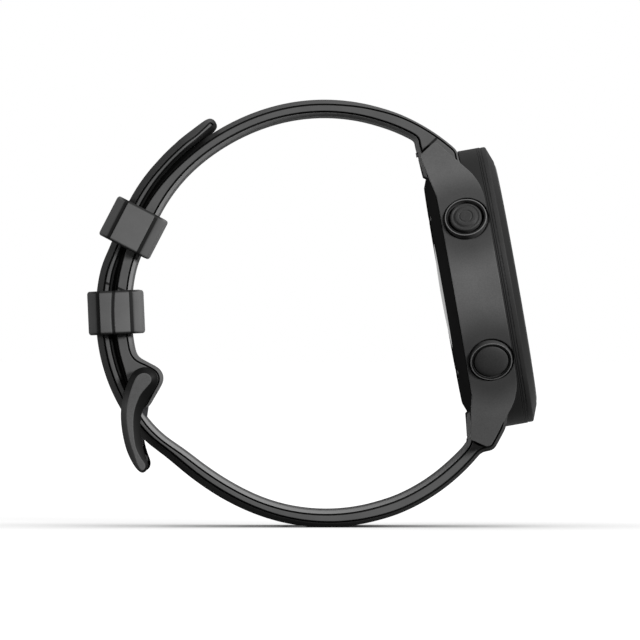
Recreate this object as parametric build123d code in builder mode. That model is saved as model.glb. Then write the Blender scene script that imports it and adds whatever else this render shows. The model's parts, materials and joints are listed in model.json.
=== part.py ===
from build123d import *
from math import acos, atan2, cos, degrees, hypot, radians, sin, sqrt
import os

# A running watch, buckled, standing on the bottom of its strap loop. X points to
# the side the display faces, Y across the strap, Z up, the origin under the middle.
# In the case frame x is world Y, y points to 12 o'clock and z from back to front.

# ---- where the case stands ----
case_lean = 10.05
case_x = 19.62
case_z = 34.94

# ---- case heights, from the rear face ----
cover_back_v = 0.22
cover_flange_v = 1.7
plate_front_v = 8.7
band_depth = 2.5
wall_step = 0.8
bezel_side = 0.9
bezel_rise = 0.9
lens_proud = 0.15
button_v = 5.4
band_back_v = plate_front_v - band_depth
wall_front_v = plate_front_v + wall_step
bezel_chamfer_v = wall_front_v + bezel_side
bezel_front_v = bezel_chamfer_v + bezel_rise
lens_front_v = bezel_front_v + lens_proud

# ---- case radii, worked out from the bezel's ----
bezel_r = 21.15
bezel_slope = 2.4
lens_rim = 0.35
band_proud = 0.05
plate_proud = 0.35
lower_wall_step = 0.9
wall_thickness = 2.7
cover_reveal = 0.2
cover_slope = 2.5
cover_heel = 1.0
bezel_front_r = bezel_r - bezel_slope
lens_r = bezel_front_r - lens_rim
band_r = bezel_r + band_proud
plate_r = bezel_r + plate_proud
lower_wall_r = band_r - lower_wall_step
cavity_r = band_r - wall_thickness
cover_edge_r = lower_wall_r - cover_reveal
cover_heel_r = cover_edge_r - cover_slope
cover_back_r = cover_heel_r - cover_heel

# ---- lugs and side plates ----
strap_width = 20.0
strap_side_clearance = 0.3
lug_cheek = 1.7
lug_shift = -0.3
lug_front_turn = 38.0
lug_front_radius = 8.0
lug_reach = 1.95
lug_front_length = 10.05
lug_tip_v = 2.95
lug_heel_length = 1.75
lug_heel_v = 0.3
lug_back_length = 8.25
lug_corner_r = 0.8
lug_end_half_width = strap_width / 2 + strap_side_clearance + lug_cheek
lug_tip_s = plate_r + lug_reach
lug_straight_s = lug_tip_s - lug_front_length
lug_heel_s = lug_tip_s - lug_heel_length
lug_root_s = lug_tip_s - lug_back_length

# ---- quick-release bars ----
bar_inset = 1.55
bar_s = lug_tip_s - bar_inset
bar_v = 2.0
bar_tube_r = 0.75
bar_tube_wall = 0.27
bar_fit = 0.07
bar_tip_reach = 0.9
bar_tube_inset = 0.4
bar_pin_length = 4.8
bar_lever_length = 2.2
bar_lever_r = 0.35
bar_lever_inset = 3.6
bar_travel = 1.1
bar_spring_length = 3.0
bar_spring_wire = 0.12
bar_spring_r = 0.3
bar_spring_turns = 6

# ---- straps ----
short_thickness = 2.45
long_thickness = 2.5
tip_thickness = 2.05
layer_gap = 0.1
short_start_v = 6.12
short_start_inset = 2.05
short_start_u = lug_shift + lug_tip_s - short_start_inset
short_start_turn = 37.4
short_top_r = 29.8
short_top_sweep = 61.6
short_rear_r = 34.1
short_rear_sweep = 26.1
short_back_r = 31.3
short_back_sweep = 60.0
long_start_v = 1.75
long_start_outset = 0.45
long_start_u = lug_shift - lug_tip_s - long_start_outset
long_start_turn = 48.0
long_bottom_r = 29.8
long_bottom_sweep = 75.0
bulge_angle = 190.0
bulge_offset = 2.75
tip_rear_sweep = 7.5
tip_straight = 4.6
tip_corner_r = 7.0
knuckle_clearance = 0.25
knuckle_front_proud = 0.85
knuckle_back_proud = 0.42
knuckle_root_inset = 5.95
knuckle_bow_inset = 3.3
knuckle_chin_v = 2.0
short_heel_outset = 0.45
long_heel_inset = 0.85
knuckle_root_s = lug_tip_s - knuckle_root_inset
knuckle_bow_s = lug_tip_s - knuckle_bow_inset
short_heel_s = lug_tip_s + short_heel_outset
long_heel_s = lug_tip_s - long_heel_inset
hole_pitch = 6.0
hole_length = 4.8
hole_width = 3.2
holes_towards_case = 5
holes_towards_tip = 5
lever_slot_fit = 0.15

# ---- keepers ----
keeper_depth = 8.4
keeper_width = 23.6
keeper_length = 6.6
keeper_fit = 0.27
keeper_side_fit = 0.4
keeper_bevel = 1.6
keeper_inward_shift = 0.45
free_keeper_angle = 156.3
fixed_keeper_angle = 180.5

# ---- buckle ----
hinge_angle = 201.7
hinge_depth = 3.4
knuckle_r = 2.0
knuckle_toe_r = 0.45
knuckle_toe_reach = 4.2
buckle_bar_r = 0.75
bar_bore_fit = 0.05
tongue_crossing_angle = 219.0
frame_past_hole = 5.3
frame_bulge = 2.3
frame_tail = 0.4
arm_width = 2.6
arm_thickness = 1.8
arm_clearance = 0.4
crossbar_r = 0.85
tongue_thickness = 0.9
tongue_width = 1.8
tongue_eye_r = 1.5
tongue_overhang = 1.6
tongue_rest_gap = 0.08
notch_side_clearance = 0.4

# ---- buttons ----
left_button_angles = (150.0, 210.0)
right_button_angles = (30.0, 0.0, -30.0)
cap_r = 2.7
cap_bore_fit = 0.05
cap_proud = 0.9
cap_end_r = plate_r + cap_proud
cap_thickness = 1.35
cap_edge = 0.3
collar_wall = 0.4
collar_proud = 0.5
collar_end_r = plate_r + collar_proud
pocket_floor_wall = 1.15
pocket_floor_r = cavity_r + pocket_floor_wall
stem_r = 0.85
stem_fit = 0.06
seal_r = 1.45
seal_depth = 0.5
clip_r = 1.35
clip_groove_depth = 0.25
clip_thickness = 0.25
clip_gap = 0.05
stem_tail = 0.45
button_travel = 0.6
spring_wire = 0.22
spring_coil_r = 2.0
spring_turns = 2.5

# ---- inside the case ----
boss_inset = 3.2
boss_orbit_r = cavity_r - boss_inset
boss_r = 2.0
boss_rib_overlap = 0.8
boss_back_gap = 1.3
boss_top_v = 6.9
screw_r = 0.75
screw_fit = 0.05
screw_head_r = 1.35
screw_head_height = 0.8
screw_length = 4.2
cover_thickness = 1.2
register_fit = 0.15
register_r = cavity_r - register_fit
register_wall = 1.0
register_top_v = 2.7
gasket_inner_wall = 0.4
gasket_inner_r = cavity_r + gasket_inner_wall
gasket_wall = 0.8
gasket_height = 0.6
frame_plate_thickness = 0.6
frame_fit = 0.3
frame_r = cavity_r - frame_fit
board_inset = 2.1
board_r = cavity_r - board_inset
board_thickness = 0.7
switch_depth = 1.1
switch_width = 3.0
switch_height = 2.2
tab_thickness = 0.9
battery_length_inset = 1.9
battery_width_inset = 1.5
battery_length = cavity_r - battery_length_inset
battery_width = cavity_r - battery_width_inset
battery_thickness = 3.6
battery_x = -3.0
motor_r = 4.0
motor_inset = 5.3
motor_x = cavity_r - motor_inset
motor_wall = 0.25
motor_height = 2.6
rotor_fit = 0.15
motor_pin_r = 0.4
buzzer_r = 3.6
buzzer_inset = 5.5
buzzer_x = buzzer_inset - cavity_r
buzzer_thickness = 0.6
window_r = 8.0
sensor_rim_wall = 1.1
sensor_board_v = 2.2
sensor_board_thickness = 0.6
led_size = 1.2
diode_length = 2.2
optic_height = 0.6
window_dome = 0.3
contact_y = -12.2
contact_pitch = 1.7
contact_r = 0.45
contact_count = 4
port_length = 7.6
port_width = 2.8
port_depth = 0.5
port_margin = 0.4
flex_thickness = 0.2
flex_width = 7.0
flex_slot_fit = 0.3
sensor_flex_x = 7.2
display_flex_y = -10.5
antenna_wall = 0.5
antenna_height = 1.9
antenna_sweep = 200.0

can_height = 0.7
can_corner = 0.6
can_places = ((-5.5, 3.0, 9.0, 8.0), (6.0, 3.5, 7.0, 6.0))
battery_corner = 1.2
rotor_hub_r = 1.2
cover_heel_v = 0.6
cover_edge_height = 0.1
screw_socket_r = 0.55
screw_socket_depth = 0.4
led_orbit_r = 2.2
led_count = 3
diode_orbit_r = 5.4
diode_count = 4
contact_recess = 0.2

# ---- front ----
lens_edge = 0.3
lens_thickness = 1.2
lens_fit = 0.05
seal_width = 1.0
seal_thickness = 0.3
display_inset = 4.8
display_r = lens_r - display_inset
display_thickness = 1.2
bezel_skirt_depth = 1.2
assembly_fit = 0.05

half_width = strap_width / 2
case = Plane(
    origin=(case_x, 0, case_z),
    x_dir=(0, 1, 0),
    z_dir=(cos(radians(case_lean)), 0, sin(radians(case_lean))),
)


# ---- flat geometry of the side view, x to the right and z up ----
def case_point(v, u):
    # the point v in front of the rear face and u towards 12 o'clock
    spot = case.from_local_coords((0, u, v))
    return (spot.X, spot.Z)


def beside(point, heading, distance):
    # the point to the left of a heading
    a = radians(heading)
    return (point[0] - distance * sin(a), point[1] + distance * cos(a))


def ahead(point, heading, distance):
    a = radians(heading)
    return (point[0] + distance * cos(a), point[1] + distance * sin(a))


def around(centre, angle, radius):
    return ahead(centre, angle, radius)


def after_arc(point, heading, radius, turn):
    # where an arc ends that turns left for a positive turn
    side = radius if turn > 0 else -radius
    centre = beside(point, heading, side)
    return beside(centre, heading + turn, -side), heading + turn


def span(a, b):
    return hypot(b[0] - a[0], b[1] - a[1])


def bearing(a, b):
    return degrees(atan2(b[1] - a[1], b[0] - a[0]))


def wrapped(angle):
    return (angle + 180) % 360 - 180


def biarc(a, heading_a, b, heading_b):
    # two tangent arcs with equal tangent lengths from a to b, as (radius, turn) pairs
    ta = (cos(radians(heading_a)), sin(radians(heading_a)))
    tb = (cos(radians(heading_b)), sin(radians(heading_b)))
    chord = (b[0] - a[0], b[1] - a[1])
    along = chord[0] * (ta[0] + tb[0]) + chord[1] * (ta[1] + tb[1])
    spread = 2 * (1 - ta[0] * tb[0] - ta[1] * tb[1])
    reach = (sqrt(along ** 2 + spread * span(a, b) ** 2) - along) / spread
    meet = (
        (a[0] + b[0] + reach * (ta[0] - tb[0])) / 2,
        (a[1] + b[1] + reach * (ta[1] - tb[1])) / 2,
    )
    first = 2 * wrapped(bearing(a, meet) - heading_a)
    second = 2 * wrapped(heading_b - bearing(meet, b))
    return [
        (span(a, meet) / 2 / sin(radians(abs(first) / 2)), first),
        (span(meet, b) / 2 / sin(radians(abs(second) / 2)), second),
    ]


def draw_arcs(start, heading, arcs, inset):
    # the tangent arcs of a strap face, moved inwards by inset, in the open BuildLine
    point = beside(start, heading, inset if arcs[0][1] > 0 else -inset)
    for radius, turn in arcs:
        direction = (cos(radians(heading)), sin(radians(heading)))
        JernArc(start=point, tangent=direction, radius=radius - inset, arc_size=turn)
        point, heading = after_arc(point, heading, radius - inset, turn)
    return point, heading


def walk(start, heading, arcs):
    point = start
    for radius, turn in arcs:
        point, heading = after_arc(point, heading, radius, turn)
    return point, heading


# the short strap's outer face runs from the upper lug over the top and down the back
short_start = case_point(short_start_v, short_start_u)
short_heading = 90 + case_lean + short_start_turn
short_arcs = [
    (short_top_r, short_top_sweep),
    (short_rear_r, short_rear_sweep),
    (short_back_r, short_back_sweep),
]
rear_start, rear_heading = walk(short_start, short_heading, short_arcs[:1])
back_start, back_heading = walk(short_start, short_heading, short_arcs[:2])
short_end, short_end_heading = walk(short_start, short_heading, short_arcs)
back_centre = beside(back_start, back_heading, short_back_r)

# the long strap's outer face runs from the lower lug under the loop, through the
# buckle and over the short strap, whose arcs it follows
layer_offset = layer_gap + tip_thickness
long_start = case_point(long_start_v, long_start_u)
long_heading = 270 + case_lean - long_start_turn
junction_angle = back_heading - 90


def long_face(case_inset, tip_inset):
    # the outer face, or one that lies inside it by so much at either end
    start = beside(long_start, long_heading, -case_inset)
    arcs = [(long_bottom_r - case_inset, -long_bottom_sweep)]
    bottom_end, bottom_heading = walk(start, long_heading, arcs)
    bulge = around(back_centre, bulge_angle, short_back_r + bulge_offset - (case_inset + tip_inset) / 2)
    junction = around(back_centre, junction_angle, short_back_r + layer_offset - tip_inset)
    arcs += biarc(bottom_end, bottom_heading, bulge, bulge_angle - 90)
    arcs += biarc(bulge, bulge_angle - 90, junction, junction_angle - 90)
    arcs.append((short_rear_r + layer_offset - tip_inset, -tip_rear_sweep))
    return start, arcs


_, long_arcs = long_face(0, 0)
tip_start, tip_heading = walk(long_start, long_heading, long_arcs)

# the buckle hinge lies inside the loop, the strap hole where the tongue crosses
hinge = around(back_centre, hinge_angle, short_back_r - hinge_depth)
crossing_start, crossing_heading = walk(long_start, long_heading, long_arcs[:2])
crossing_radius = long_arcs[2][0]
crossing_centre = beside(crossing_start, crossing_heading, -crossing_radius)
tongue_hole = around(crossing_centre, tongue_crossing_angle, crossing_radius - long_thickness / 2)
aim = bearing(hinge, tongue_hole)
frame_reach = span(hinge, tongue_hole) + frame_past_hole
rest_offset = tongue_thickness / 2 + tongue_rest_gap
crossbar = beside(ahead(hinge, aim, frame_reach), aim, rest_offset)


def side_plane(point, heading):
    # a plane across the strap at a point of the side view, its z along the heading
    a = radians(heading)
    return Plane(origin=(point[0], 0, point[1]), x_dir=(sin(a), 0, -cos(a)), z_dir=(cos(a), 0, sin(a)))


def flat_plane(point, heading):
    # a plane along the strap's own faces, its x along the heading
    a = radians(heading)
    return Plane(origin=(point[0], 0, point[1]), x_dir=(cos(a), 0, sin(a)), z_dir=(-sin(a), 0, cos(a)))


def spoke(angle, height):
    # a plane on the case axis at a height, its z along a radius, its x to the front
    a = radians(angle)
    radial = case.x_dir * cos(a) + case.y_dir * sin(a)
    return Plane(origin=case.from_local_coords((0, 0, height)), x_dir=case.z_dir, z_dir=radial)


def level(height):
    return case.offset(height)


def round_level(height):
    # the same plane, turned so that round walls have their seam at 12 o'clock
    return Plane(origin=level(height).origin, x_dir=case.y_dir, z_dir=case.z_dir)


case_side = Plane(origin=case.origin, x_dir=case.z_dir, z_dir=(0, -1, 0))


# ---- mid case ----
def lug_outline(sign):
    # one lug of the side plate from the straight front edge round its end to the back
    reach = lug_shift + sign * lug_straight_s
    turn = radians(lug_front_turn)
    bend_v = plate_front_v - lug_front_radius * (1 - cos(turn))
    bend_s = lug_straight_s + lug_front_radius * sin(turn)
    half = radians(lug_front_turn / 2)
    mid_v = plate_front_v - lug_front_radius * (1 - cos(half))
    mid_s = lug_straight_s + lug_front_radius * sin(half)
    ends = [(bend_v, bend_s), (lug_tip_v, lug_tip_s), (lug_heel_v, lug_heel_s), (cover_flange_v, lug_root_s)]
    placed = [(v, lug_shift + sign * s) for v, s in ends]
    ThreePointArc((plate_front_v, reach), (mid_v, lug_shift + sign * mid_s), placed[0])
    Polyline(*placed)


def lug_plan():
    # the plan of a side plate: round the case, then straight along a tangent to the lug end
    end = (lug_end_half_width, lug_tip_s + abs(lug_shift) + lug_corner_r)
    far = hypot(*end)
    touch = degrees(atan2(end[1], end[0])) - degrees(acos(plate_r / far))
    return end, touch


def bar_place(sign):
    return case_point(bar_v, lug_shift + sign * bar_s)


inner_half = half_width + strap_side_clearance
pocket_r = cap_r + cap_bore_fit
collar_r = pocket_r + collar_wall
button_angles = left_button_angles + right_button_angles
boss_angles = (45, 135, 225, 315)
with BuildPart() as mid_case:
    lug_end, lug_touch = lug_plan()
    with BuildSketch(round_level(0)):
        with BuildLine():
            for side in (90, 270):
                CenterArc((0, 0), plate_r, side - lug_touch, 2 * lug_touch)
            for end in (-1, 1):
                for side in (-1, 1):
                    touch = (
                        end * plate_r * sin(radians(lug_touch)),
                        side * plate_r * cos(radians(lug_touch)),
                    )
                    Line(touch, (end * lug_end[1], side * lug_end[0]))
                Line((end * lug_end[1], -lug_end[0]), (end * lug_end[1], lug_end[0]))
        make_face()
    extrude(amount=wall_front_v)
    with BuildSketch(case_side) as plate_side:
        with BuildLine():
            lug_outline(1)
            lug_outline(-1)
            for v, s in ((plate_front_v, lug_straight_s), (cover_flange_v, lug_root_s)):
                Line((v, lug_shift - s), (v, lug_shift + s))
        make_face()
        fillet(plate_side.vertices().group_by(Axis.X)[0], lug_corner_r / 2)
        lug_tips = [w for w in plate_side.vertices() if abs(w.Y - lug_shift) > lug_tip_s - 0.1]
        fillet(lug_tips, lug_corner_r)
    extrude(amount=plate_r + 1, both=True, mode=Mode.INTERSECT)
    with BuildSketch(level(cover_flange_v)):
        Rectangle(2 * inner_half, 4 * lug_end[1])
    extrude(amount=plate_front_v + 1, both=True, mode=Mode.SUBTRACT)
    with BuildSketch(round_level(cover_flange_v)):
        Circle(lower_wall_r)
    extrude(amount=wall_front_v - cover_flange_v)
    with BuildSketch(round_level(band_back_v)):
        Circle(band_r)
    extrude(amount=wall_front_v - band_back_v)
    for angle in button_angles:
        with BuildSketch(spoke(angle, button_v).offset(cavity_r)):
            Circle(collar_r)
        extrude(amount=collar_end_r - cavity_r)
    with BuildSketch(round_level(0)):
        Circle(cavity_r)
    extrude(amount=wall_front_v, mode=Mode.SUBTRACT)
    with BuildSketch(round_level(cover_flange_v)):
        Circle(cover_edge_r + assembly_fit)
    extrude(amount=-cover_flange_v - 1, mode=Mode.SUBTRACT)
    with BuildSketch(level(cover_flange_v + boss_back_gap)):
        with PolarLocations(boss_orbit_r, len(boss_angles), start_angle=boss_angles[0]):
            Circle(boss_r)
            with Locations(((cavity_r - boss_orbit_r) / 2, 0)):
                Rectangle(cavity_r - boss_orbit_r + boss_rib_overlap, 2 * boss_r)
    extrude(amount=boss_top_v - cover_flange_v - boss_back_gap)
    with BuildSketch(level(cover_flange_v)):
        with PolarLocations(boss_orbit_r, len(boss_angles), start_angle=boss_angles[0]):
            Circle(screw_r + screw_fit)
    extrude(amount=screw_length + 0.6, mode=Mode.SUBTRACT)
    with BuildSketch(round_level(cover_flange_v)):
        Circle(gasket_inner_r + gasket_wall)
        Circle(gasket_inner_r, mode=Mode.SUBTRACT)
    extrude(amount=gasket_height, mode=Mode.SUBTRACT)
    for angle in button_angles:
        with BuildSketch(spoke(angle, button_v).offset(pocket_floor_r)):
            Circle(pocket_r)
        extrude(amount=collar_end_r, mode=Mode.SUBTRACT)
        with BuildSketch(spoke(angle, button_v).offset(pocket_floor_r - seal_depth)):
            Circle(seal_r)
        extrude(amount=seal_depth + 1, mode=Mode.SUBTRACT)
        with BuildSketch(spoke(angle, button_v).offset(cavity_r - wall_thickness)):
            Circle(stem_r + stem_fit)
        extrude(amount=2 * wall_thickness, mode=Mode.SUBTRACT)
    for sign in (-1, 1):
        with BuildSketch(Plane.XZ):
            with Locations(bar_place(sign)):
                Circle(bar_tube_r - bar_tube_wall)
        extrude(amount=inner_half + bar_tip_reach + 0.1, both=True, mode=Mode.SUBTRACT)
mid_case.part.label = "mid_case"


def turned():
    # the half plane that profiles turned about the case axis are drawn in
    return Plane(origin=case.origin, x_dir=case.y_dir, z_dir=(0, 1, 0))


case_axis = Axis(case.origin, case.z_dir)
lens_back_v = lens_front_v - lens_thickness
ledge_v = lens_back_v - seal_thickness
ledge_r = lens_r - seal_width
board_back_v = boss_top_v + frame_plate_thickness
board_front_v = board_back_v + board_thickness
display_back_v = lens_back_v - display_thickness

# ---- front ----
with BuildPart() as bezel:
    with BuildSketch(turned()):
        with BuildLine():
            Polyline(
                (bezel_r, wall_front_v),
                (bezel_r, bezel_chamfer_v),
                (bezel_front_r, bezel_front_v),
                (lens_r + lens_fit, bezel_front_v),
                (lens_r + lens_fit, ledge_v),
                (ledge_r, ledge_v),
                (ledge_r, wall_front_v - bezel_skirt_depth),
                (cavity_r - assembly_fit, wall_front_v - bezel_skirt_depth),
                (cavity_r - assembly_fit, wall_front_v),
                close=True,
            )
        make_face()
    revolve(axis=case_axis)
bezel.part.label = "bezel"

with BuildPart() as front_lens:
    with BuildSketch(round_level(lens_back_v)):
        Circle(lens_r)
    extrude(amount=lens_thickness)
    chamfer(front_lens.faces().sort_by(Axis(case.origin, case.z_dir))[-1].edges(), lens_edge)
front_lens.part.label = "front_lens"


def ring(name, height, outer, inner, thickness):
    # a flat ring about the case axis
    with BuildPart() as flat_ring:
        with BuildSketch(round_level(height)):
            Circle(outer)
            Circle(inner, mode=Mode.SUBTRACT)
        extrude(amount=thickness)
    flat_ring.part.label = name
    return flat_ring


lens_seal = ring("lens_seal", ledge_v, lens_r, ledge_r, seal_thickness)
dial_ring = ring("dial_ring", ledge_v, ledge_r - assembly_fit, display_r + assembly_fit, seal_thickness)

with BuildPart() as display_panel:
    with BuildSketch(round_level(display_back_v)):
        Circle(display_r)
    extrude(amount=display_thickness)
display_panel.part.label = "display_panel"

with BuildPart() as display_flex:
    with BuildSketch(level(board_front_v)):
        with Locations((0, display_flex_y)):
            Rectangle(flex_width, flex_thickness)
    extrude(amount=display_back_v - board_front_v)
display_flex.part.label = "display_flex"

# ---- electronics ----
with BuildPart() as main_board:
    with BuildSketch(round_level(board_back_v)):
        Circle(board_r)
    extrude(amount=board_thickness)
main_board.part.label = "main_board"

with BuildPart() as shield_cans:
    with BuildSketch(level(board_front_v)):
        for x, y, width, height in can_places:
            with Locations((x, y)):
                RectangleRounded(width, height, can_corner)
    extrude(amount=can_height)
shield_cans.part.label = "shield_cans"

with BuildPart() as gps_antenna:
    antenna_r = ledge_r - 3 * assembly_fit
    with BuildSketch(turned()):
        with Locations((antenna_r - antenna_wall / 2, board_back_v + antenna_height / 2)):
            Rectangle(antenna_wall, antenna_height)
    revolve(axis=case_axis, revolution_arc=antenna_sweep)
gps_antenna.part.label = "gps_antenna"

clip_outer_r = cavity_r - clip_gap
stem_end_r = clip_outer_r - clip_thickness - stem_tail
switch_face_r = stem_end_r - button_travel - clip_gap
switch_back_r = switch_face_r - switch_depth
with BuildPart() as inner_frame:
    with BuildSketch(round_level(boss_top_v)):
        Circle(frame_r)
    extrude(amount=frame_plate_thickness)
    with BuildSketch(level(boss_top_v)):
        with Locations((sensor_flex_x, 0)):
            Rectangle(flex_thickness + 2 * flex_slot_fit, flex_width + 2 * flex_slot_fit)
    extrude(amount=frame_plate_thickness, mode=Mode.SUBTRACT)
    for angle in button_angles:
        with BuildSketch(spoke(angle, 0).offset(switch_back_r - tab_thickness)):
            with Locations(((boss_top_v + button_v - switch_height / 2) / 2, 0)):
                Rectangle(boss_top_v - button_v + switch_height / 2, switch_width)
        extrude(amount=tab_thickness)
inner_frame.part.label = "inner_frame"

with BuildPart() as button_switches:
    for angle in button_angles:
        with BuildSketch(spoke(angle, button_v).offset(switch_back_r)):
            Rectangle(switch_height, switch_width)
        extrude(amount=switch_depth)
button_switches.part.label = "button_switches"

with BuildPart() as battery:
    with BuildSketch(level(boss_top_v)):
        with Locations((battery_x, 0)):
            RectangleRounded(battery_width, battery_length, battery_corner)
    extrude(amount=-battery_thickness)
battery.part.label = "battery"

# ---- vibration motor ----
with BuildPart() as motor_housing:
    with BuildSketch(level(cover_thickness)):
        with Locations((motor_x, 0)):
            Circle(motor_r)
    extrude(amount=motor_height)
    with BuildSketch(level(cover_thickness + motor_wall)):
        with Locations((motor_x, 0)):
            Circle(motor_r - motor_wall)
            Circle(motor_pin_r, mode=Mode.SUBTRACT)
    extrude(amount=motor_height - 2 * motor_wall, mode=Mode.SUBTRACT)
motor_housing.part.label = "motor_housing"

with BuildPart() as motor_rotor:
    # half a disc of heavy metal on a hub, so that it shakes the case as it turns
    with BuildSketch(level(cover_thickness + motor_wall + rotor_fit)):
        with Locations((motor_x, 0)):
            Circle(motor_r - motor_wall - rotor_fit)
            with Locations((0, -motor_r / 2)):
                Rectangle(2 * motor_r, motor_r, mode=Mode.SUBTRACT)
            Circle(rotor_hub_r)
            Circle(motor_pin_r + assembly_fit, mode=Mode.SUBTRACT)
    extrude(amount=motor_height - 2 * motor_wall - 2 * rotor_fit)
motor_rotor.part.label = "motor_rotor"

with BuildPart() as buzzer:
    with BuildSketch(level(cover_thickness)):
        with Locations((buzzer_x, 0)):
            Circle(buzzer_r)
    extrude(amount=buzzer_thickness)
buzzer.part.label = "buzzer"

# ---- rear cover and what sits on it ----
port_inner_length = port_length - 2 * port_margin
port_inner_width = port_width - 2 * port_margin
sensor_rim_r = window_r + assembly_fit + sensor_rim_wall
with BuildPart() as rear_cover:
    with BuildSketch(turned()):
        with BuildLine():
            Polyline(
                (window_r + assembly_fit, cover_back_v),
                (cover_back_r, cover_back_v),
                (cover_heel_r, cover_heel_v),
                (cover_edge_r, cover_flange_v - cover_edge_height),
                (cover_edge_r, cover_flange_v),
                (register_r, cover_flange_v),
                (register_r, register_top_v),
                (register_r - register_wall, register_top_v),
                (register_r - register_wall, cover_thickness),
                (sensor_rim_r, cover_thickness),
                (sensor_rim_r, sensor_board_v),
                (window_r + assembly_fit, sensor_board_v),
                close=True,
            )
        make_face()
    revolve(axis=case_axis)
    with BuildSketch(level(cover_back_v)):
        with PolarLocations(boss_orbit_r, len(boss_angles), start_angle=boss_angles[0]):
            Circle(screw_head_r + 2 * screw_fit)
    extrude(amount=screw_head_height, mode=Mode.SUBTRACT)
    with BuildSketch(level(cover_back_v)):
        with PolarLocations(boss_orbit_r, len(boss_angles), start_angle=boss_angles[0]):
            Circle(screw_r + screw_fit)
    extrude(amount=register_top_v, mode=Mode.SUBTRACT)
    with BuildSketch(level(cover_back_v)):
        with Locations((0, contact_y)):
            RectangleRounded(port_length, port_width, port_margin)
    extrude(amount=port_depth, mode=Mode.SUBTRACT)
    with BuildSketch(level(cover_back_v)):
        with Locations((0, contact_y)):
            Rectangle(port_inner_length + 2 * assembly_fit, port_inner_width + 2 * assembly_fit)
    extrude(amount=cover_thickness, mode=Mode.SUBTRACT)
rear_cover.part.label = "rear_cover"

rear_gasket = ring(
    "rear_gasket",
    cover_flange_v,
    gasket_inner_r + gasket_wall - assembly_fit,
    gasket_inner_r + assembly_fit,
    gasket_height,
)

with BuildPart() as rear_screws:
    with BuildSketch(level(cover_back_v + screw_head_height)):
        with PolarLocations(boss_orbit_r, len(boss_angles), start_angle=boss_angles[0]):
            Circle(screw_r)
    extrude(amount=screw_length)
    with BuildSketch(level(cover_back_v + screw_fit)):
        with PolarLocations(boss_orbit_r, len(boss_angles), start_angle=boss_angles[0]):
            Circle(screw_head_r)
    extrude(amount=screw_head_height - screw_fit)
    with BuildSketch(level(cover_back_v + screw_fit)):
        with PolarLocations(boss_orbit_r, len(boss_angles), start_angle=boss_angles[0]):
            RegularPolygon(screw_socket_r, 6)
    extrude(amount=screw_socket_depth, mode=Mode.SUBTRACT)
rear_screws.part.label = "rear_screws"

with BuildPart() as sensor_window:
    # a slightly domed window, flush with the inside of the cover
    with BuildSketch(turned()):
        with BuildLine():
            Polyline(
                (window_r, cover_back_v),
                (window_r, cover_thickness),
                (0, cover_thickness),
                (0, cover_back_v - window_dome),
            )
            ThreePointArc(
                (0, cover_back_v - window_dome),
                (window_r / 2, cover_back_v - window_dome * 3 / 4),
                (window_r, cover_back_v),
            )
        make_face()
    revolve(axis=case_axis)
sensor_window.part.label = "sensor_window"

with BuildPart() as sensor_board:
    with BuildSketch(round_level(sensor_board_v)):
        Circle(sensor_rim_r)
    extrude(amount=sensor_board_thickness)
sensor_board.part.label = "sensor_board"

with BuildPart() as sensor_leds:
    with BuildSketch(level(sensor_board_v)):
        with PolarLocations(led_orbit_r, led_count, start_angle=90):
            Rectangle(led_size, led_size)
    extrude(amount=-optic_height)
sensor_leds.part.label = "sensor_leds"

with BuildPart() as photodiodes:
    with BuildSketch(level(sensor_board_v)):
        with PolarLocations(diode_orbit_r, diode_count, start_angle=45):
            Rectangle(led_size, diode_length)
    extrude(amount=-optic_height)
photodiodes.part.label = "photodiodes"

with BuildPart() as sensor_flex:
    with BuildSketch(level(sensor_board_v + sensor_board_thickness)):
        with Locations((sensor_flex_x, 0)):
            Rectangle(flex_thickness, flex_width)
    extrude(amount=board_back_v - sensor_board_v - sensor_board_thickness)
sensor_flex.part.label = "sensor_flex"

with BuildPart() as contact_block:
    with BuildSketch(level(cover_back_v + port_depth)):
        with Locations((0, contact_y)):
            Rectangle(port_inner_length, port_inner_width)
            with GridLocations(contact_pitch, 0, contact_count, 1):
                Circle(contact_r + assembly_fit / 2, mode=Mode.SUBTRACT)
    extrude(amount=sensor_board_v - cover_back_v - port_depth)
contact_block.part.label = "contact_block"

with BuildPart() as charge_contacts:
    with BuildSketch(level(cover_back_v + contact_recess)):
        with Locations((0, contact_y)):
            with GridLocations(contact_pitch, 0, contact_count, 1):
                Circle(contact_r)
    extrude(amount=sensor_board_v + sensor_board_thickness - cover_back_v - contact_recess)
charge_contacts.part.label = "charge_contacts"

# ---- buttons, each pressed along its own spoke of the case ----
cap_base_r = cap_end_r - cap_thickness
button_names = (
    "left_upper_button",
    "left_lower_button",
    "right_upper_button",
    "right_middle_button",
    "right_lower_button",
)
pieces = []


def button(name, angle):
    # the cap with its stem, grooved for the clip behind the case wall
    with BuildPart() as cap:
        with BuildSketch(spoke(angle, button_v).offset(cap_base_r)):
            Circle(cap_r)
        extrude(amount=cap_thickness)
        rim = cap.faces().sort_by(Axis(case.origin, spoke(angle, 0).z_dir))[-1].edges()
        fillet(rim, cap_edge)
        with BuildSketch(spoke(angle, button_v).offset(stem_end_r)):
            Circle(stem_r)
        extrude(amount=cap_base_r - stem_end_r)
        with BuildSketch(spoke(angle, button_v).offset(clip_outer_r - clip_thickness - clip_gap)):
            Circle(stem_r)
            Circle(stem_r - clip_groove_depth, mode=Mode.SUBTRACT)
        extrude(amount=clip_thickness + 2 * clip_gap, mode=Mode.SUBTRACT)
    cap.part.label = name
    return cap


def button_seal(name, angle):
    with BuildPart() as seal:
        with BuildSketch(spoke(angle, button_v).offset(pocket_floor_r - seal_depth)):
            Circle(seal_r - assembly_fit / 2)
            Circle(stem_r + stem_fit, mode=Mode.SUBTRACT)
        extrude(amount=seal_depth - assembly_fit)
    seal.part.label = name + "_seal"
    return seal


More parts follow.
